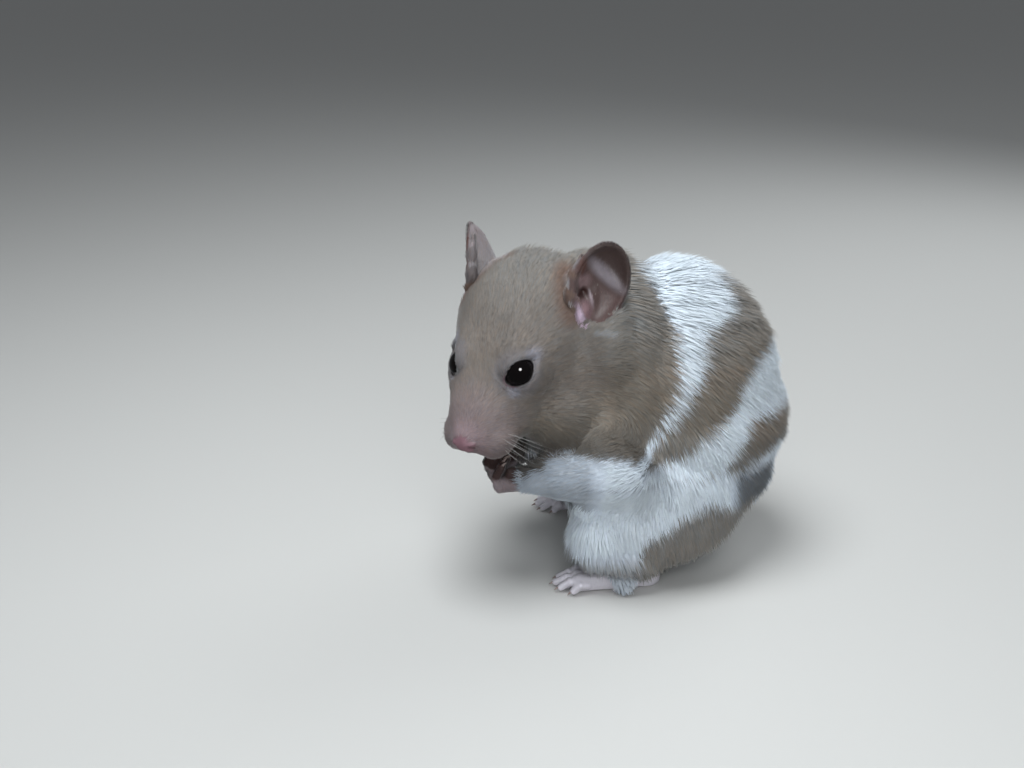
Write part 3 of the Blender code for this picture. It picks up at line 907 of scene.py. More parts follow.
WHITE = colour(0.77, 0.85, 0.96)
# A painted shadow, low on the rump's left flank under its patch.
STRIP_SHADOW = colour(0.080, 0.084, 0.090)
# The white in painted shade, for the front under the head and the fur near the floor.
WHITE_SHADE = colour(0.270, 0.260, 0.255)
BROWN = colour(0.235, 0.200, 0.163)
BROWN_WARM = colour(0.285, 0.205, 0.150)
BROWN_GREY = colour(0.225, 0.215, 0.200)
FACE = colour(0.225, 0.193, 0.170)
FOREHEAD = colour(0.240, 0.224, 0.208)
# Greyer brown for the back, lighter too as painted light on its top.
BACK_GREY_LIT = colour(0.262, 0.248, 0.232)
# Greyer brown for low on the body, darkened as painted shade on the parts that face down.
LOW_BROWN_SHADED = colour(0.205, 0.196, 0.186)
SNOUT = colour(0.285, 0.220, 0.222)
ORANGE = colour(0.190, 0.118, 0.090)
EYE_RING = colour(0.205, 0.190, 0.200)
EYE_PALE = colour(0.265, 0.258, 0.295)
PINK = colour(0.205, 0.108, 0.130)
NOSE_FUR = colour(0.330, 0.240, 0.255)
PALE_PINK = colour(0.400, 0.330, 0.345)
FOOT = colour(0.760, 0.720, 0.780)
PAW = colour(0.300, 0.240, 0.250)
# Dark red pad skin, with painted shade from the head over the palm.
PALM_SKIN_AND_SHADE = colour(0.050, 0.022, 0.018)
# Painted shade on the far forearm under the mouth.
FAR_ARM_SHADE = colour(0.085, 0.070, 0.062)
LID_DARK = colour(0.012, 0.009, 0.010)
# Dark ear skin, and painted shade in the hollow under the rim at the top of the cup.
EAR_DARK_AND_SHADE = colour(0.072, 0.046, 0.042)
EAR_INSIDE = colour(0.120, 0.074, 0.070)
# Paler skin along the slanting fold, with a painted highlight on it.
EAR_FOLD_AND_HIGHLIGHT = colour(0.310, 0.270, 0.300)
EAR_SKIN = colour(0.250, 0.165, 0.170)
EAR_EDGE = colour(0.120, 0.048, 0.036)
EAR_PAD = colour(0.320, 0.200, 0.215)
EAR_PALE = colour(0.380, 0.300, 0.330)
EAR_PINK = colour(0.560, 0.430, 0.540)
EAR_BACK = colour(0.225, 0.190, 0.195)
EAR_FUR = colour(0.330, 0.300, 0.300)
# Dark red skin, and painted shade where the canal goes in.
CANAL_AND_SHADE = colour(0.045, 0.012, 0.010)
RIDGE = {"left": colour(0.200, 0.132, 0.108), "right": colour(0.200, 0.170, 0.170)}
ORANGE_LINE = ((13.8, 0.6, 9.6), (13.0, 2.8, 13.2), (11.2, 5.6, 15.4), (9.2, 10.8, 15.6))  # before the ear
STREAK_LINE = ((20.3, 0.9, 5.7), (23.4, 3.2, 4.2))  # pale hairs under the left ear
EYE_PALE_SPOTS = (((11.2, -10.4, 7.0), 3.0), ((8.8, -17.8, 2.0), 2.2))  # over and under the eye, and how wide
EAR_SPOTS = (  # the colour, how much of it, how far to the rear and how high, how long and wide, and its turn
    # A painted highlight along the slanting fold, over paler skin.
    (EAR_FOLD_AND_HIGHLIGHT, 0.9, 1.6, 11.7, 4.9, 1.35, -36.6),
    (EAR_SKIN, 1, -3.0, 9.6, 1.7, 1.5, 0),
    (EAR_EDGE, 1, -4.2, 12.8, 0.9, 1.8, 0),
    (EAR_PAD, 1, -1.9, 3.3, 1.7, 2.0, 0),
    (EAR_PALE, 1, -0.5, 6.0, 1.7, 0.35, -68.0),
    (CANAL_AND_SHADE, 1, -2.5, 7.0, 1.3, 0.9, 20.0),
    (EAR_PINK, 1, -2.9, 1.2, 2.9, 1.0, 108.0),
)


def nose_reach(at):
    """Under 1 on the bare nose. at is in the head's frame."""
    return far(at, (0.2, -29.6, -6.1), (3.3, 2.8, 2.6))


def off_line(points, line):
    """How far each point is from a line through the given places."""
    found = np.full(len(points), 1e9)
    for start, end in zip(line, line[1:]):
        start, way = np.array(start), np.array(end) - np.array(start)
        along = np.clip(((points - start) @ way) / (way @ way), 0, 1)
        found = np.minimum(found, np.linalg.norm(points - start - along[:, None] * way, axis=1))
    return found


def brown_colour(points):
    """The brown of each region: greyer on the back and lighter on its top as painted light, warm before the
    ears, and pink towards the nose.
    """
    at = in_head(points)
    half = left_half(at)
    side, back, up = half.T
    y, z = points[:, 1], points[:, 2]
    patches = noise(points, 6.0, 5)
    head = smooth(1.15, 0.95, far(at, HEAD_MIDDLE, HEAD_RADII))
    nose = far(at, NOSE_PLACE)
    ear_front = off_line(half, ORANGE_LINE) + patches * 0.7
    found = np.tile(BROWN, (len(points), 1))
    for tint, share in (
        (BROWN_WARM, smooth(0.1, 0.9, patches) * 0.5),
        (BROWN_GREY, smooth(-0.1, -0.9, patches) * 0.6),
        # Greyer towards the top of the back, and lighter there: painted light from above.
        (BACK_GREY_LIT, smooth(50, 66, z) * 0.7),
        # A greyer tone low on the body, darkened as painted shade.
        (LOW_BROWN_SHADED, smooth(44, 30, z) * 0.8),
        (FACE, smooth(12, -10, back) * smooth(-12, 0, up + side * 0.1) * head),
        (FOREHEAD, smooth(-14, 4, back) * smooth(6, 12, up) * smooth(9, 3, side) * head * 0.7),
        (SNOUT, smooth(19, 6, nose) * 0.85),
        (NOSE_FUR, smooth(8, 3.5, nose) * 0.8),
        (ORANGE, smooth(4.4, 0.6, ear_front) * 0.95),
    ):
        found = mix(found, tint, share)
    for ear in SIDES:
        _, behind, high, radius, plain = ear_at(points, ear)
        behind = smooth(0.2, 0.8, behind - plain) * smooth(7.5, 5.0, behind - plain)
        found = mix(found, EAR_FUR, smooth(1.2, 0.95, radius) * behind * smooth(1, 6, high) * 0.8)
    # Painted shade under the jaw and down the front of the neck.
    shade_under_head = np.maximum(smooth(-7, -17, up) * head, smooth(46, 39, z) * smooth(5, -1, y))
    temple = smooth(6, 11, side) * smooth(1, 6, up) * smooth(8, 0, back) * head
    haunch = smooth(26, 20, z) * smooth(0, 4, y)
    # The brown is darkened by that painted shade, a little darker at the temples and lighter low on the
    # haunch.
    for lighter in (-0.32 * shade_under_head, -0.16 * temple, 0.25 * haunch):
        found = found * (1 + lighter[:, None])
    streak = off_line(at, STREAK_LINE) + noise(points, 1.3, 17) * 0.35
    found = mix(found, WHITE, smooth(1.1, 0.3, streak) * 0.16)
    found = mix(found, EYE_RING, smooth(6.4, 4.2, far(half, EYE_PLACE)) * 0.7)
    for spot, wide in EYE_PALE_SPOTS:
        found = mix(found, EYE_PALE, smooth(wide, wide * 0.3, far(half, spot)) * 0.75)
    return found


def white_colour(points):
    """The white, with painted shade under the head and near the floor, and a painted shadow under the rump's
    patch.
    """
    x, y, z = points.T
    # Painted shade on the front under the head, and low down near the floor.
    chest_shade = smooth(-6, -22, y) * smooth(42, 38, z) * smooth(22, 27, z) * 0.45
    hem_shade = smooth(13.0, 6.5, z) * (0.95 - 0.55 * smooth(6.5, 3.5, z))
    found = mix(np.tile(WHITE, (len(points), 1)), WHITE_SHADE, np.maximum(chest_shade, hem_shade))
    # Painted shadow low on the rump's left flank, under its patch.
    strip_shadow = smooth(23, 27, y) * smooth(31, 27, z) * smooth(15, 19, z) * smooth(6, 12, x) * 0.9
    return mix(found, STRIP_SHADOW, strip_shadow)


def coat_colour(points, shake=0.0):
    """The coat's colour at each point, which skin and tufts share."""
    return mix(brown_colour(points), white_colour(points), white_share(points, shake))


def ear_colour(points, side):
    """Dark bare skin with painted shade at the top, a painted highlight on the paler fold across it, a pink
    pad and flap and a dark red canal.
    """
    rear, back, up, radius, plain = ear_at(points, side)
    # Darker towards the top and rear: painted shade in the hollow under the overhanging rim.
    found = mix(np.tile(EAR_INSIDE, (len(points), 1)), EAR_DARK_AND_SHADE, smooth(9.5, 13.5, up + rear * 0.7))
    for tint, share, *place, long, wide, turn in EAR_SPOTS:
        along, aside = off_place(rear, up, place, turn)
        found = mix(found, tint, smooth(1.7, 0.35, np.hypot(along / long, aside / wide)) * share)
    outside = smooth(0.0, 0.35, back - folded(rear, plain, up, radius))
    return mix(found, mix(np.tile(EAR_BACK, (len(points), 1)), EAR_FUR, smooth(15, 5, up)), outside)


def lid_colour(points, plain):
    """A dark edge to the lids, and pale skin that turns pink at the front corner and below."""
    found = plain
    for side in SIDES:
        x, _, z = in_eye(points, side).T
        past = past_lids(points, side)
        pink = smooth(1.5, 3.6, x) * smooth(2.0, 0.6, past)
        ring = mix(np.tile(EYE_RING * 0.75, (len(points), 1)), PINK, pink * 0.6)
        ring = mix(ring, LID_DARK, smooth(0.34, 0.12, past))
        found = mix(found, ring, smooth(1.0, 0.5, past) * (z > -2.5))
    return found


def arm_colour(points, side, plain):
    """The near forearm is white down to its wrist, with painted shade low at the front. The far one has
    painted shade under the mouth.
    """
    y, z = points[:, 1], points[:, 2]
    if side == "left":
        # Painted shade on the near forearm's lower front part.
        return mix(plain, WHITE * 0.54, smooth(-6, -11, y) * smooth(37.5, 35, z))
    return mix(plain, FAR_ARM_SHADE, smooth(-14, -20, y) * 0.9)


def paw_colour(points, side):
    """Pale at the wrist and the knuckles, and dark red in the palm and up the fingers: darker skin with
    painted shade.
    """
    wrist, knuckles, tips = (np.array(place) for place in paw_places(side))
    palm = smooth(0.3, 1.8, (points - (wrist + knuckles) / 2) @ unit(tips - knuckles))
    return mix(np.tile(PAW, (len(points), 1)), PALM_SKIN_AND_SHADE, palm * 0.92)


def part_colour(name, points, base, plain):
    """One part's colour at its points. plain is the coat's, and base has the tufts' roots or the points."""
    part, _, side = name.partition("_")
    if part in ("ear", "earback"):
        return ear_colour(base, side)
    if part == "ridge":
        return RIDGE[side]
    if part == "foreleg":
        return arm_colour(points, side, plain)
    if part == "forepaw":
        return paw_colour(base, side)
    if part == "hindfoot":
        return FOOT
    return PALE_PINK if part == "tail" else plain


def skin_colour(points, names, region):
    """The skin's colour: as the coat over it where it's furred, and bare pink on the nose, paws and feet."""
    found = coat_colour(points) * 0.74 + PALE_PINK * 0.06
    found = mix(found, PINK, smooth(1.3, 0.8, nose_reach(in_head(points))))
    for number, name in enumerate(names):
        mine = region == number
        found[mine] = part_colour(name, points[mine], points[mine], found[mine])
    return found


# --- Tufts ------------------------------------------------------------------------------------------
TUFTS = 236000
PIECE_TUFTS = 33000
PATCH = 0.0015  # half the width of a tuft's patch on its map
BURIED = 0.35  # how deep a tuft's root is in the skin
TUFT_GAIN = {"ear": (1.2, 0.01), "earback": (1.2, 0.01), "forepaw": (1.15, 0)}  # lighter than the skin there
SHOWN = 0.48  # how far along a tuft the part is that shows, which its colour goes by
OWN_PLACE = 0.55  # how far each part of a tuft has the colour of its own place instead
SOFTNESS = 0.95  # how far the tufts are shaded as the surface that they make up, not one by one
SPINDLE = ((0, 2, 1), (0, 3, 2), (0, 1, 3), (4, 1, 2), (4, 2, 3), (4, 3, 1))  # 0 is the root and 4 the tip
SPINDLE_MAP = ((0, -1), (-1, 0), (1, 0), (0, 0.15), (0, 1))  # where its corners are on its patch
COAT_GROUPS = {  # the parts whose tufts go into pieces together
    "head": ("head", *EAR_PARTS),
    "neck": ("neck",),
    "trunk": ("trunk", "tail"),
    "forelegs": ("foreleg_left", "foreleg_right", "forepaw_left", "forepaw_right"),
    "haunch_left": ("hindleg_left", "hindfoot_left"),
    "haunch_right": ("hindleg_right", "hindfoot_right"),
}


def rooted(mesh, values, wanted, density, rng):
    """Picks places over the skin so that each stretch gets its share, and reads the values there."""
    faces = triangles_of(mesh)
    points = points_of(mesh)
    a, b, c = (points[faces[:, i]] for i in range(3))
    area = np.linalg.norm(np.cross(b - a, c - a), axis=1) / 2
    weight = area * density[faces].mean(1)
    total = np.cumsum(weight)
    picks = (np.arange(wanted) + rng.random(wanted) * 0.8) * total[-1] / wanted
    face = np.minimum(np.searchsorted(total, picks), len(faces) - 1)
    u, v = rng.random((2, wanted))
    flip = u + v > 1
    u, v = np.where(flip, 1 - u, u), np.where(flip, 1 - v, v)
    share = np.column_stack([1 - u - v, u, v])
    corner = faces[face]
    root = (points[corner] * share[..., None]).sum(1)
    read = [(value[corner] * share[..., None]).sum(1) for value in values]
    return root, face, read


def lock_pull(root, cell, salt):
    """The way from each root to the nearest lock's middle, in the plane of no surface yet."""
    base = np.floor(root / cell[:, None]).astype(np.int64)
    best = np.full(len(root), 1e9)
    found = np.zeros_like(root)
    for step in np.ndindex(3, 3, 3):
        spot = base + np.array(step) - 1
        shift = np.column_stack([hashed(spot, salt + i) for i in range(3)])
        middle = (spot + shift) * cell[:, None]
        away = np.linalg.norm(middle - root, axis=1)
        closer = away < best
        best[closer] = away[closer]
        found[closer] = (middle - root)[closer]
    return found


def flat_on(ways, normal):
    """Ways laid flat on a surface."""
    return unit(ways - dot(ways, normal) * normal)


def parted_round(points, lie, normal):
    """Turns the lie aside where it would run over an eye."""
    for side in SIDES:
        to_eye = np.array(eye_ball(side)) - points
        near = smooth(8.5, 4.5, np.linalg.norm(to_eye, axis=1))
        to_eye = flat_on(to_eye, normal)
        into = np.maximum(dot(lie, to_eye), 0)
        lie = unit(lie - to_eye * into * near[:, None] * 1.25)
    return lie


def tuft_density(mesh, names, region, coat):
    """How close the tufts stand: none are on the lids, the nose and the soles, and few inside the ears."""
    _, length, width, layers = coat.T
    points = points_of(mesh)
    density = layers / (length * width / 2) * smooth(0.60, 1.15, nose_reach(in_head(points)))
    for side in SIDES:
        density = density * smooth(0.25, 0.6, past_lids(points, side))
        rear, back, _, radius, plain = ear_at(points, side)
        mouth = (radius < 0.93) & (back < plain + 0.6) & (back > plain - 7) & (rear > -4.0)
        density = np.where(mouth, density * 0.06, density)
    bare = np.isin(region, [names.index(name) for name in BARE])
    return np.where(points[:, 2] < np.where(bare, 1.5, 0.4), 0, density)


def grow_tufts(skin, names, region, coat, lie):
    """Every tuft's three points, axes, width, root and random numbers."""
    rng = np.random.default_rng(SEED)
    mesh = skin.data
    density = tuft_density(mesh, names, region, coat)
    root, face, read = rooted(mesh, [normals_of(mesh), coat, lie], TUFTS, density, rng)
    count = len(root)
    normal, (rise, length, width, _) = unit(read[0]), read[1].T
    lie = flat_on(parted_round(root, flat_on(read[2], normal), normal), normal)
    across = np.cross(normal, lie)
    turn = noise(root, 7.0, 21) * 0.20 + noise(root, 2.4, 22) * 0.10 + rng.normal(0, 0.08, count)
    lie = lie * np.cos(turn)[:, None] + across * np.sin(turn)[:, None]
    across = np.cross(normal, lie)
    near_floor = smooth(2, 15, root[:, 2]) * 0.55 + 0.45
    long = length * near_floor * (1 + 0.16 * noise(root, 3.0, 23) + rng.normal(0, 0.12, count))
    high = rise * (1 + 0.10 * noise(root, 3.4, 24) + rng.uniform(-0.26, 0.08, count))
    cell = np.clip(length * 0.27, 0.55, 2.3)
    cell = np.exp2(np.round(np.log2(cell) * 2) / 2)
    pull = lock_pull(root, cell, 31)
    pull -= dot(pull, normal) * normal
    gather = (0.05 + 0.12 * rng.random(count))[:, None]
    start = root - normal * np.minimum(BURIED, rise * 0.8)[:, None]
    flat = np.sqrt(np.maximum(long**2 - high**2, (0.5 * long) ** 2))
    middle = root + lie * (flat * 0.42)[:, None] + normal * (high * 0.66)[:, None] + pull * gather * 0.45
    tip = root + lie * flat[:, None] + normal * high[:, None] + pull * gather
    for spots, least in ((start, 0.15), (middle, 0.3), (tip, 0.25)):  # all of it stays over the floor
        spots[:, 2] += np.maximum(least + rng.random(count) * 0.3 - spots[:, 2], 0)
    return {
        "start": start, "middle": middle, "tip": tip, "normal": normal, "lie": lie, "across": across,
        "width": width * (0.8 + 0.4 * rng.random(count)), "face": face, "root": root,
        "random": rng.random((3, count)), "length": length,
    }


def tuft_colours(tufts, names, owner):
    """Root, middle and tip colour of each tuft. owner has the number of its region."""
    fine, hue, pick = tufts["random"]
    body = smooth(2.0, 7.0, tufts["length"])
    shown = tufts["root"] + (tufts["tip"] - tufts["root"]) * SHOWN
    found = []
    # Each tuft is darker towards its root: a darker undercoat, and painted shade deep in the coat.
    for part, dark, darker in (("root", 0.98, 0.88), ("middle", 0.99, 0.96), ("tip", 1.0, 1.02)):
        place = shown + (tufts[part] - shown) * OWN_PLACE
        base = coat_colour(place, (pick - 0.5) * (0.8 + 1.5 * body))
        for number, name in enumerate(names):
            mine = owner == number
            gain, more = TUFT_GAIN.get(name.split("_")[0], (1, 0))
            base[mine] = part_colour(name, place[mine], tufts["root"][mine], base[mine]) * gain + more
            if name == "tail":
                base[mine] = PALE_PINK * 0.6 + WHITE * 0.2
        whiteness = smooth(0.3, 0.7, base.mean(1))
        ticking = 1 + (fine - 0.5) * mix(0.22, 0.05, whiteness)
        warm = (hue - 0.5) * mix(0.14, 0.03, whiteness)
        base = base * ticking[:, None] * np.column_stack([1 + warm, np.ones(len(warm)), 1 - warm])
        found.append(np.minimum(base * mix(darker, dark, whiteness)[:, None], 0.92))
    return found


def coat_piece(name, tufts, colours, places, chosen):
    """One mesh of closed three-sided spindles, each with its colours and its patch of the map."""
    count = len(chosen)
    start, middle, tip, across, normal, lie = (
        tufts[key][chosen] for key in ("start", "middle", "tip", "across", "normal", "lie")
    )
    half = (tufts["width"][chosen] / 2)[:, None]
    along = unit(tip - start)
    out = unit(normal - dot(normal, along) * along)
    ring = [middle - across * half, middle + across * half, middle + out * half * 0.75]
    verts = np.stack([start, *ring, tip], axis=1)
    faces = (np.arange(count)[:, None, None] * 5 + np.array(SPINDLE)).reshape(-1, 3)
    mesh = bpy.data.meshes.new(name)
    mesh.vertices.add(count * 5)
    mesh.vertices.foreach_set("co", (verts * MM).astype(np.float32).ravel())
    mesh.loops.add(len(faces) * 3)
    mesh.loops.foreach_set("vertex_index", faces.astype(np.int32).ravel())
    mesh.polygons.add(len(faces))
    mesh.polygons.foreach_set("loop_start", np.arange(0, len(faces) * 3, 3, dtype=np.int32))
    mesh.update(calc_edges=True)
    first, second, last = (part[chosen] for part in colours)
    # The outer ridge of each spindle is a little lighter: a painted highlight.
    paint(mesh, np.stack([first, second, second, second * 1.04, last], axis=1).reshape(-1, 3))
    uv = np.clip(places[chosen][:, None, :], PATCH, 1 - PATCH) + np.array(SPINDLE_MAP) * PATCH
    layer = mesh.uv_layers.new(name="OFBake")
    layer.data.foreach_set("uv", uv.reshape(-1, 2)[faces.ravel()].astype(np.float32).ravel())
    own = np.stack([out * 0.6 - lie * 0.8, -across, across, out, out], axis=1)
    soft = unit(unit(own) * (1 - SOFTNESS) + normal[:, None, :] * SOFTNESS)
    mesh.polygons.foreach_set("use_smooth", np.ones(len(faces), bool))
    mesh.normals_split_custom_set_from_vertices(soft.reshape(-1, 3).astype(np.float32))
    return new_object(name, mesh)


def unwrapped(skin):
    """A light copy of the skin, unwrapped, with its map's places by face."""
    light = skin.copy()
    light.data = skin.data.copy()
    light.name = "unwrapped"
    bpy.context.scene.collection.objects.link(light)
    fewer = light.modifiers.new("fewer", "DECIMATE")
    fewer.ratio = 7000 / (2 * len(light.data.polygons))
    settle(light)
    bpy.context.view_layer.objects.active = light
    for other in bpy.context.selected_objects:
        other.select_set(False)
    light.select_set(True)
    bpy.ops.object.mode_set(mode="EDIT")
    bpy.ops.mesh.select_all(action="SELECT")
    bpy.ops.uv.smart_project(angle_limit=math.radians(66), island_margin=0.01)
    bpy.ops.object.mode_set(mode="OBJECT")
    return light


def map_places(light, roots):
    """Where each root is on the unwrap of the skin."""
    mesh = light.data
    faces = [tuple(poly.vertices) for poly in mesh.polygons]
    points = points_of(mesh)
    tree = BVHTree.FromPolygons([tuple(p) for p in points], faces)
    layer = mesh.uv_layers.active
    uv = np.empty(len(mesh.loops) * 2, np.float32)
    layer.data.foreach_get("uv", uv)
    uv = uv.reshape(-1, 2)
    starts = np.array([poly.loop_start for poly in mesh.polygons])
    hits = [tree.find_nearest(root) for root in roots]
    number = np.array([hit[2] for hit in hits])
    spot = np.array([hit[0] for hit in hits])
    corner = np.array([face[:3] for face in faces])[number]
    a, b, c = (points[corner[:, i]] for i in range(3))
    ab, ac, ap = b - a, c - a, spot - a
    d00, d01, d11 = (ab * ab).sum(1), (ab * ac).sum(1), (ac * ac).sum(1)
    d20, d21 = (ap * ab).sum(1), (ap * ac).sum(1)
    under = np.maximum(d00 * d11 - d01 * d01, 1e-12)
    v = np.clip((d11 * d20 - d01 * d21) / under, 0, 1)
    w = np.clip((d00 * d21 - d01 * d20) / under, 0, 1)
    first = starts[number]
    ua, ub, uc = (uv[first + i] for i in range(3))
    return ua * (1 - v - w)[:, None] + ub * v[:, None] + uc * w[:, None]


def make_coat(tufts, names, owner, colours, places):
    """The tufts as pieces by part of the body, none of them too large."""
    look = coat_material()
    for group, members in COAT_GROUPS.items():
        chosen = np.flatnonzero(np.isin(owner, [names.index(member) for member in members]))
        parts = max(1, math.ceil(len(chosen) / PIECE_TUFTS))
        for number, share in enumerate(np.array_split(chosen, parts)):
            piece = coat_piece(f"coat_{group}_{number + 1}", tufts, colours, places, share)
            piece.data.materials.append(look)
            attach(piece, "root")


# --- Fine shape of the face -------------------------------------------------------------------------
REFINE_NOSE = 9  # how near the nose, and how near an eye, the skin's faces are halved
REFINE_EYE = 6


def refine_face(skin):
    """Halves the faces of the muzzle and round the eyes, then presses in nostrils and philtrum."""
    bm = bmesh.new()
    bm.from_mesh(skin.data)
    nose = from_head(NOSE_PLACE) * MM
    eyes = [eye_middle(side) * MM for side in SIDES]
    by_nose, by_eyes = [], []
    for edge in bm.edges:
        spot = edge.verts[0].co
        if (spot - nose).length < REFINE_NOSE * MM:
            by_nose.append(edge)
        elif min((spot - eye).length for eye in eyes) < REFINE_EYE * MM:
            by_eyes.append(edge)
    bmesh.ops.subdivide_edges(bm, edges=by_nose + by_eyes, cuts=1, use_grid_fill=True, smooth=0.0)
    bm.to_mesh(skin.data)
    bm.free()
    points = points_of(skin.data)
    at = in_head(points)
    x, y, z = np.abs(at[:, 0] - NOSE_PLACE.x), at[:, 1], at[:, 2]
    nostril = 1.5 * np.exp(-(((x - 2.4) / 0.7) ** 2) - ((z + 7.0 + (x - 2.4) * 0.8) / 0.5) ** 2) * (y < -25)
    wing = 0.5 * np.exp(-(((x - 2.2) / 0.9) ** 2) - ((z + 5.7) / 0.6) ** 2) * (y < -25)
    philtrum = 0.7 * np.exp(-((x / 0.35) ** 2)) * smooth(-6.6, -7.6, z) * smooth(-12, -10.5, z)
    push = (-nostril + wing - philtrum) * smooth(9, 6, far(at, NOSE_PLACE))
    set_points(skin.data, points + normals_of(skin.data) * push[:, None])


def add_lids(skin):
    """Adds both eyes' lids to the skin, behind its own vertices. Gives how many of those there are."""
    own = len(skin.data.vertices)
    lids = bmesh.new()
    for side in SIDES:
        add_ring(lids, side, LID, LID_SPOKES)
    lids.transform(Matrix.Scale(MM, 4))
    bm = bmesh.new()
    bm.from_mesh(skin.data)
    take_in(bm, lids)
    bm.to_mesh(skin.data)
    bm.free()
    return own


def finish_skin(skin, names, tufts, owner):
    """The face's fine shape, the lids and the colours. Each place has the region of a tuft near it."""
    refine_face(skin)
    own = add_lids(skin)
    points = points_of(skin.data)
    some = slice(None, None, 3)
    region = owner[some][nearest(points[:own], tufts["root"][some])]
    shade = np.tile(EYE_RING * 0.75, (len(points), 1))
    shade[:own] = skin_colour(points[:own], names, region)
    paint(skin.data, lid_colour(points, shade))
    skin.data.shade_smooth()
    skin.data.materials.append(skin_material())
    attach(skin, "root")
    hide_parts(*FLESH, *BARE)


# --- Claws and whiskers -----------------------------------------------------------------------------
CLAW_LONG = 1.5
CLAW_RADIUS = 0.42
CLAW_BEND = 0.35  # how far a claw's tip is down, as a share of its length
WHISKER_ROWS = ((-5.2, 3), (-6.6, 4), (-8.0, 4), (-9.0, 3))  # height on the muzzle, and how many
WHISKER_RADIUS = 0.055
WHISKER_BACK = 0.25  # how far a whisker bends back and sags, as shares of its length
WHISKER_SAG = 0.16


def add_hook(bm, base, way, down, length, radius, steps=7, sides=8):
    """A tapered, curved spike."""
    rings = []
    for step in range(steps):
        t = step / steps
        centre = base + way * length * t + down * length * CLAW_BEND * t * t
        ahead = (way + down * 0.7 * t).normalized()
        side = ahead.cross(down).normalized()
        up = side.cross(ahead)
        size = radius * (1 - t) ** 0.7
        spots = [centre + side * math.cos(a) * size * 0.7 + up * math.sin(a) * size for a in around(sides)]
        rings.append([bm.verts.new(spot) for spot in spots])
    join_rings(bm, rings)
    point = bm.verts.new(base + way * length + down * length * CLAW_BEND)
    for i in range(sides):
        bm.faces.new((rings[-1][(i + 1) % sides], rings[-1][i], point))


def add_claw(bm, tip, way, down):
    """A claw on the tip of a digit, bent down in its own plane."""
    down = (down - down.dot(way) * way).normalized()
    add_hook(bm, tip + way * 0.35 - down * 0.15, way, down, CLAW_LONG, CLAW_RADIUS)


def make_claws(look):
    """A claw on each finger, bent towards the wrist, and on each toe, bent towards the floor."""
    bm = bmesh.new()
    for side in SIDES:
        wrist = paw_places(side)[0]
        for _, middle, tip in fingers(side):
            add_claw(bm, tip, (tip - middle).normalized(), (wrist - tip).normalized())
        for _, middle, tip in toes(side):
            way = ((tip - middle).normalized() + Vector((0, 0, 0.35))).normalized()
            add_claw(bm, tip, way, Vector((0, 0, -1)))
    bmesh.ops.recalc_face_normals(bm, faces=bm.faces)
    claws = object_from("claws", bm)
    claws.data.shade_smooth()
    claws.data.materials.append(look)
    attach(claws, "root")


def whisker_starts(sign):
    """Where each whisker of a side starts in the head's frame, its way out and its length."""
    for row, (height, number) in enumerate(WHISKER_ROWS):
        for place in range(number):
            spot = (sign * 3.2, -25.6 + place * 1.15 + row * 0.25, height)
            yield spot, Vector((sign * 1.0, place * 0.14, -0.62 - row * 0.22)), 6 + place * 1.7
    for place in range(2):  # over the eye
        yield (sign * (6.5 + place), -15 + place * 1.2, 8.5), Vector((sign * 0.7, 1.0, 0.7)), 5


def add_whisker(bm, base, way, sag, length, steps=9, sides=4):
    """A hair that tapers and bends."""
    rings = []
    side = way.cross(Vector((0.3, 0.2, 1))).normalized()
    up = side.cross(way)
    for step in range(steps):
        t = step / (steps - 1)
        centre = base + way * length * t + sag * length * t * t
        size = WHISKER_RADIUS * (1 - 0.8 * t)
        spots = [centre + side * math.cos(a) * size + up * math.sin(a) * size for a in around(sides)]
        rings.append([bm.verts.new(spot) for spot in spots])
    bm.faces.new(rings[-1][::-1])
    join_rings(bm, rings)


def make_whiskers(look, skin):
    """Rows of long hairs from the pads of the muzzle, and two over each eye, each from the skin out."""
    rng = np.random.default_rng(SEED + 1)
    tree = BVHTree.FromObject(skin, bpy.context.evaluated_depsgraph_get())
    turn = HEAD.to_3x3()
    sag = Vector((0, 0, -1)) * WHISKER_SAG + (turn @ Vector((0, 1, 0))) * WHISKER_BACK
    bm = bmesh.new()
    for sign in SIGN.values():
        out = turn @ Vector((sign, -0.1, 0.05))
        for spot, way, length in whisker_starts(sign):
            hit = tree.ray_cast((from_head(spot) + out * 25) * MM, -out)[0]
            if hit is None:
                continue
            way = ((turn @ way).normalized() + Vector(rng.normal(0, 0.08, 3))).normalized()
            add_whisker(bm, hit / MM - way * 0.4, way, sag, length * rng.uniform(0.85, 1.1))
    hairs = object_from("whiskers", bm)
    hairs.data.shade_smooth()
    hairs.data.materials.append(look)
    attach(hairs, "root")


# --- Materials --------------------------------------------------------------------------------------
def material(name, **sockets):
    """A material, its nodes and its shader, with the shader's sockets set."""
    made = bpy.data.materials.new(name)
    made.use_nodes = True
    shader = made.node_tree.nodes["Principled BSDF"]
    for key, value in sockets.items():
        shader.inputs[key.replace("_", " ")].default_value = value
    return made, made.node_tree, shader


def node(tree, kind, **values):
    made = tree.nodes.new(kind)
    for key, value in values.items():
        if key in made.inputs:
            made.inputs[key].default_value = value
        else:
            setattr(made, key, value)
    return made


def tinted(tree, shader, scale, detail, low, high):
    """The mesh's own colours, darker and lighter in fine spots. Gives the coordinates that they go by."""
    where = node(tree, "ShaderNodeTexCoord")
    tint = node(tree, "ShaderNodeVertexColor", layer_name="tint")
    spots = node(tree, "ShaderNodeTexNoise", Scale=scale, Detail=detail)
    ramp = node(tree, "ShaderNodeMapRange", **{"To Min": low, "To Max": high})
    times = node(tree, "ShaderNodeVectorMath", operation="MULTIPLY")
    tree.links.new(where.outputs["Object"], spots.inputs["Vector"])
    tree.links.new(spots.outputs["Fac"], ramp.inputs["Value"])
    tree.links.new(tint.outputs["Color"], times.inputs[0])
    tree.links.new(ramp.outputs["Result"], times.inputs[1])
    tree.links.new(times.outputs["Vector"], shader.inputs["Base Color"])
    return where


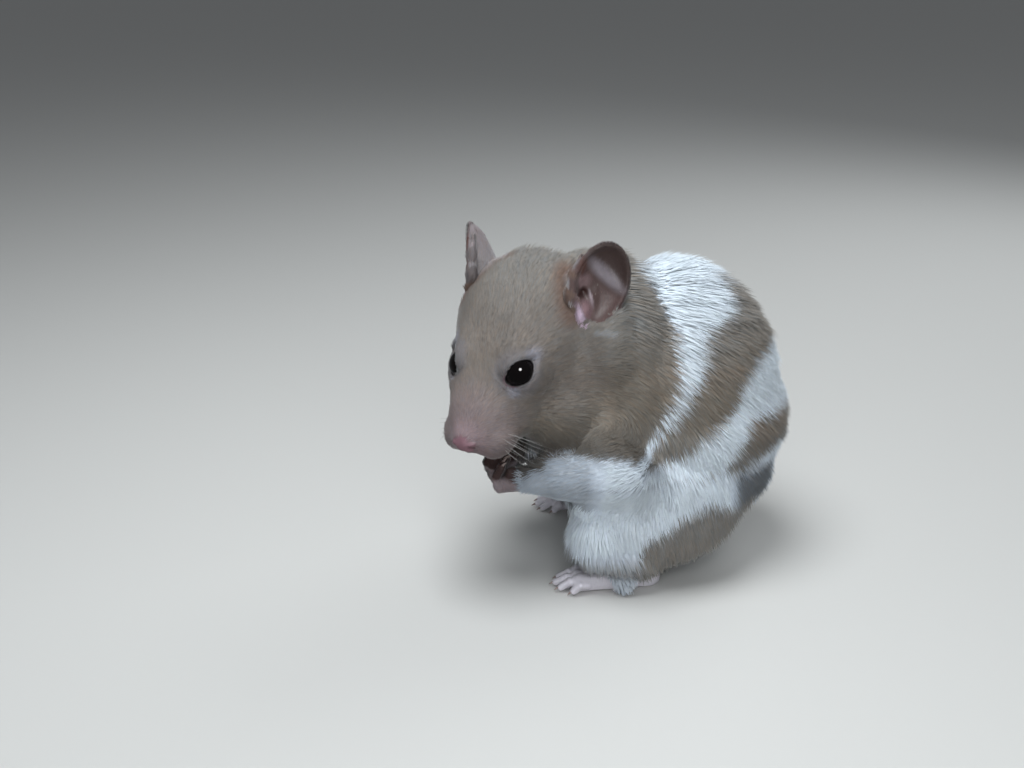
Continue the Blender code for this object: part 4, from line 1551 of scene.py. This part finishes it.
def coat_material():
    """Dull hair with a little sheen."""
    made, tree, shader = material(
        "coat", Roughness=0.7, Specular_IOR_Level=0.25, Sheen_Weight=0.25, Sheen_Roughness=0.4
    )
    tinted(tree, shader, 900.0, 2.0, 0.92, 1.08)
    return made


def skin_material():
    """Bare skin with blotches and a fine grain."""
    made, tree, shader = material("bare_skin", Roughness=0.52, Specular_IOR_Level=0.3)
    where = tinted(tree, shader, 700.0, 4.0, 0.8, 1.2)
    grain = node(tree, "ShaderNodeTexVoronoi", Scale=2600.0)
    bump = node(tree, "ShaderNodeBump", Strength=0.25, Distance=0.00008)
    tree.links.new(where.outputs["Object"], grain.inputs["Vector"])
    tree.links.new(grain.outputs["Distance"], bump.inputs["Height"])
    tree.links.new(bump.outputs["Normal"], shader.inputs["Normal"])
    return made


def eye_material():
    """Wet and almost black."""
    return material("eye", Base_Color=(0.003, 0.002, 0.002, 1), Roughness=0.03, Specular_IOR_Level=0.2)[0]


def claw_material():
    return material("claw", Base_Color=(0.30, 0.23, 0.21, 1), Roughness=0.45)[0]


def whisker_material():
    return material("whisker", Base_Color=(0.42, 0.40, 0.39, 1), Roughness=0.4)[0]


# --- The stage --------------------------------------------------------------------------------------
VIEW_AZIMUTH = 85.0
VIEW_ELEVATION = 22.0
VIEW_DISTANCE = 290.0
FOCAL_PIXELS = 1180.0
PICTURE_WIDTH = 1024
SENSOR = 36.0
AIM = placed((0.0, 0.0, 35.5))
AIM_ASIDE = 25.31  # how far the picture's middle is to the left of that point, and above it
AIM_ABOVE = 7.62
LIGHTS = (  # name, place, size and power
    ("key", (70, -80, 440), 240, 1.62),
    ("back", (-260, 300, 330), 320, 0.7),
    ("front", (285, -20, 175), 260, 0.38),
)
LIGHT_COLOUR = (0.92, 0.97, 1.0)
LIGHTS_AIM = Vector((0, 0, 40))
FLOOR_HALF = 3000
FLOOR_DROP = 0.05  # how far the floor is under the feet


def make_camera():
    """Looks from the side that the photo was taken from."""
    a, e = math.radians(VIEW_AZIMUTH), math.radians(VIEW_ELEVATION)
    back = Vector((math.sin(a) * math.cos(e), -math.cos(a) * math.cos(e), math.sin(e)))
    right = Vector((math.cos(a), math.sin(a), 0))
    up = back.cross(right)
    camera = bpy.data.objects.new("camera", bpy.data.cameras.new("camera"))
    camera.data.sensor_width = SENSOR
    camera.data.lens = FOCAL_PIXELS * SENSOR / PICTURE_WIDTH
    camera.data.clip_start = 0.01
    camera.data.clip_end = 10
    aim = AIM - right * AIM_ASIDE + up * AIM_ABOVE
    turn = Matrix((right, up, back)).transposed().to_4x4()
    camera.matrix_world = Matrix.Translation((aim + back * VIEW_DISTANCE) * MM) @ turn
    bpy.context.scene.collection.objects.link(camera)
    bpy.context.scene.camera = camera


def add_light(name, place, size, power, colour=(1, 1, 1)):
    """A round lamp that shines at the animal."""
    lamp = bpy.data.lights.new(name, "AREA")
    lamp.shape = "DISK"
    lamp.size = size * MM
    lamp.energy = power
    lamp.color = colour
    holder = new_object(name, lamp)
    holder.location = Vector(place) * MM
    holder.rotation_euler = (LIGHTS_AIM - Vector(place)).to_track_quat("-Z", "Y").to_euler()
    return holder


def make_floor():
    """A wide floor just under the feet."""
    bm = bmesh.new()
    bmesh.ops.create_grid(bm, x_segments=1, y_segments=1, size=FLOOR_HALF)
    floor = object_from("floor", bm)
    floor.location.z = -FLOOR_DROP * MM
    floor.data.materials.append(material("floor", Base_Color=(0.62, 0.61, 0.59, 1), Roughness=0.9)[0])
    floor.visible_glossy = False


def make_lights():
    """Soft light from three sides and the sky, and a lamp that only glints in the eyes."""
    world = bpy.data.worlds.new("studio")
    bpy.context.scene.world = world
    world.use_nodes = True
    sky = world.node_tree.nodes["Background"]
    sky.inputs["Color"].default_value = (0.90, 0.95, 1.0, 1)
    sky.inputs["Strength"].default_value = 0.17
    for name, place, size, power in LIGHTS:
        add_light(name, place, size, power, LIGHT_COLOUR).visible_glossy = False
    add_light("glint", (244, -10, 222), 98, 1.26).visible_diffuse = False
    bpy.context.scene.view_settings.view_transform = "Standard"


# --- Putting it together ----------------------------------------------------------------------------
def main():
    skin, names, region, coat, lie = make_skin()
    light = unwrapped(skin)
    faces = triangles_of(skin.data)
    tufts = grow_tufts(skin, names, region, coat, lie)
    owner = region[faces[tufts["face"]][:, 0]]
    colours = tuft_colours(tufts, names, owner)
    places = map_places(light, tufts["root"])
    bpy.data.objects.remove(light)
    make_coat(tufts, names, owner, colours, places)
    finish_skin(skin, names, tufts, owner)
    eye_look = eye_material()
    for side in SIDES:
        make_eye(side, eye_look)
    make_claws(claw_material())
    make_whiskers(whisker_material(), skin)
    make_floor()
    make_lights()
    make_camera()


main()
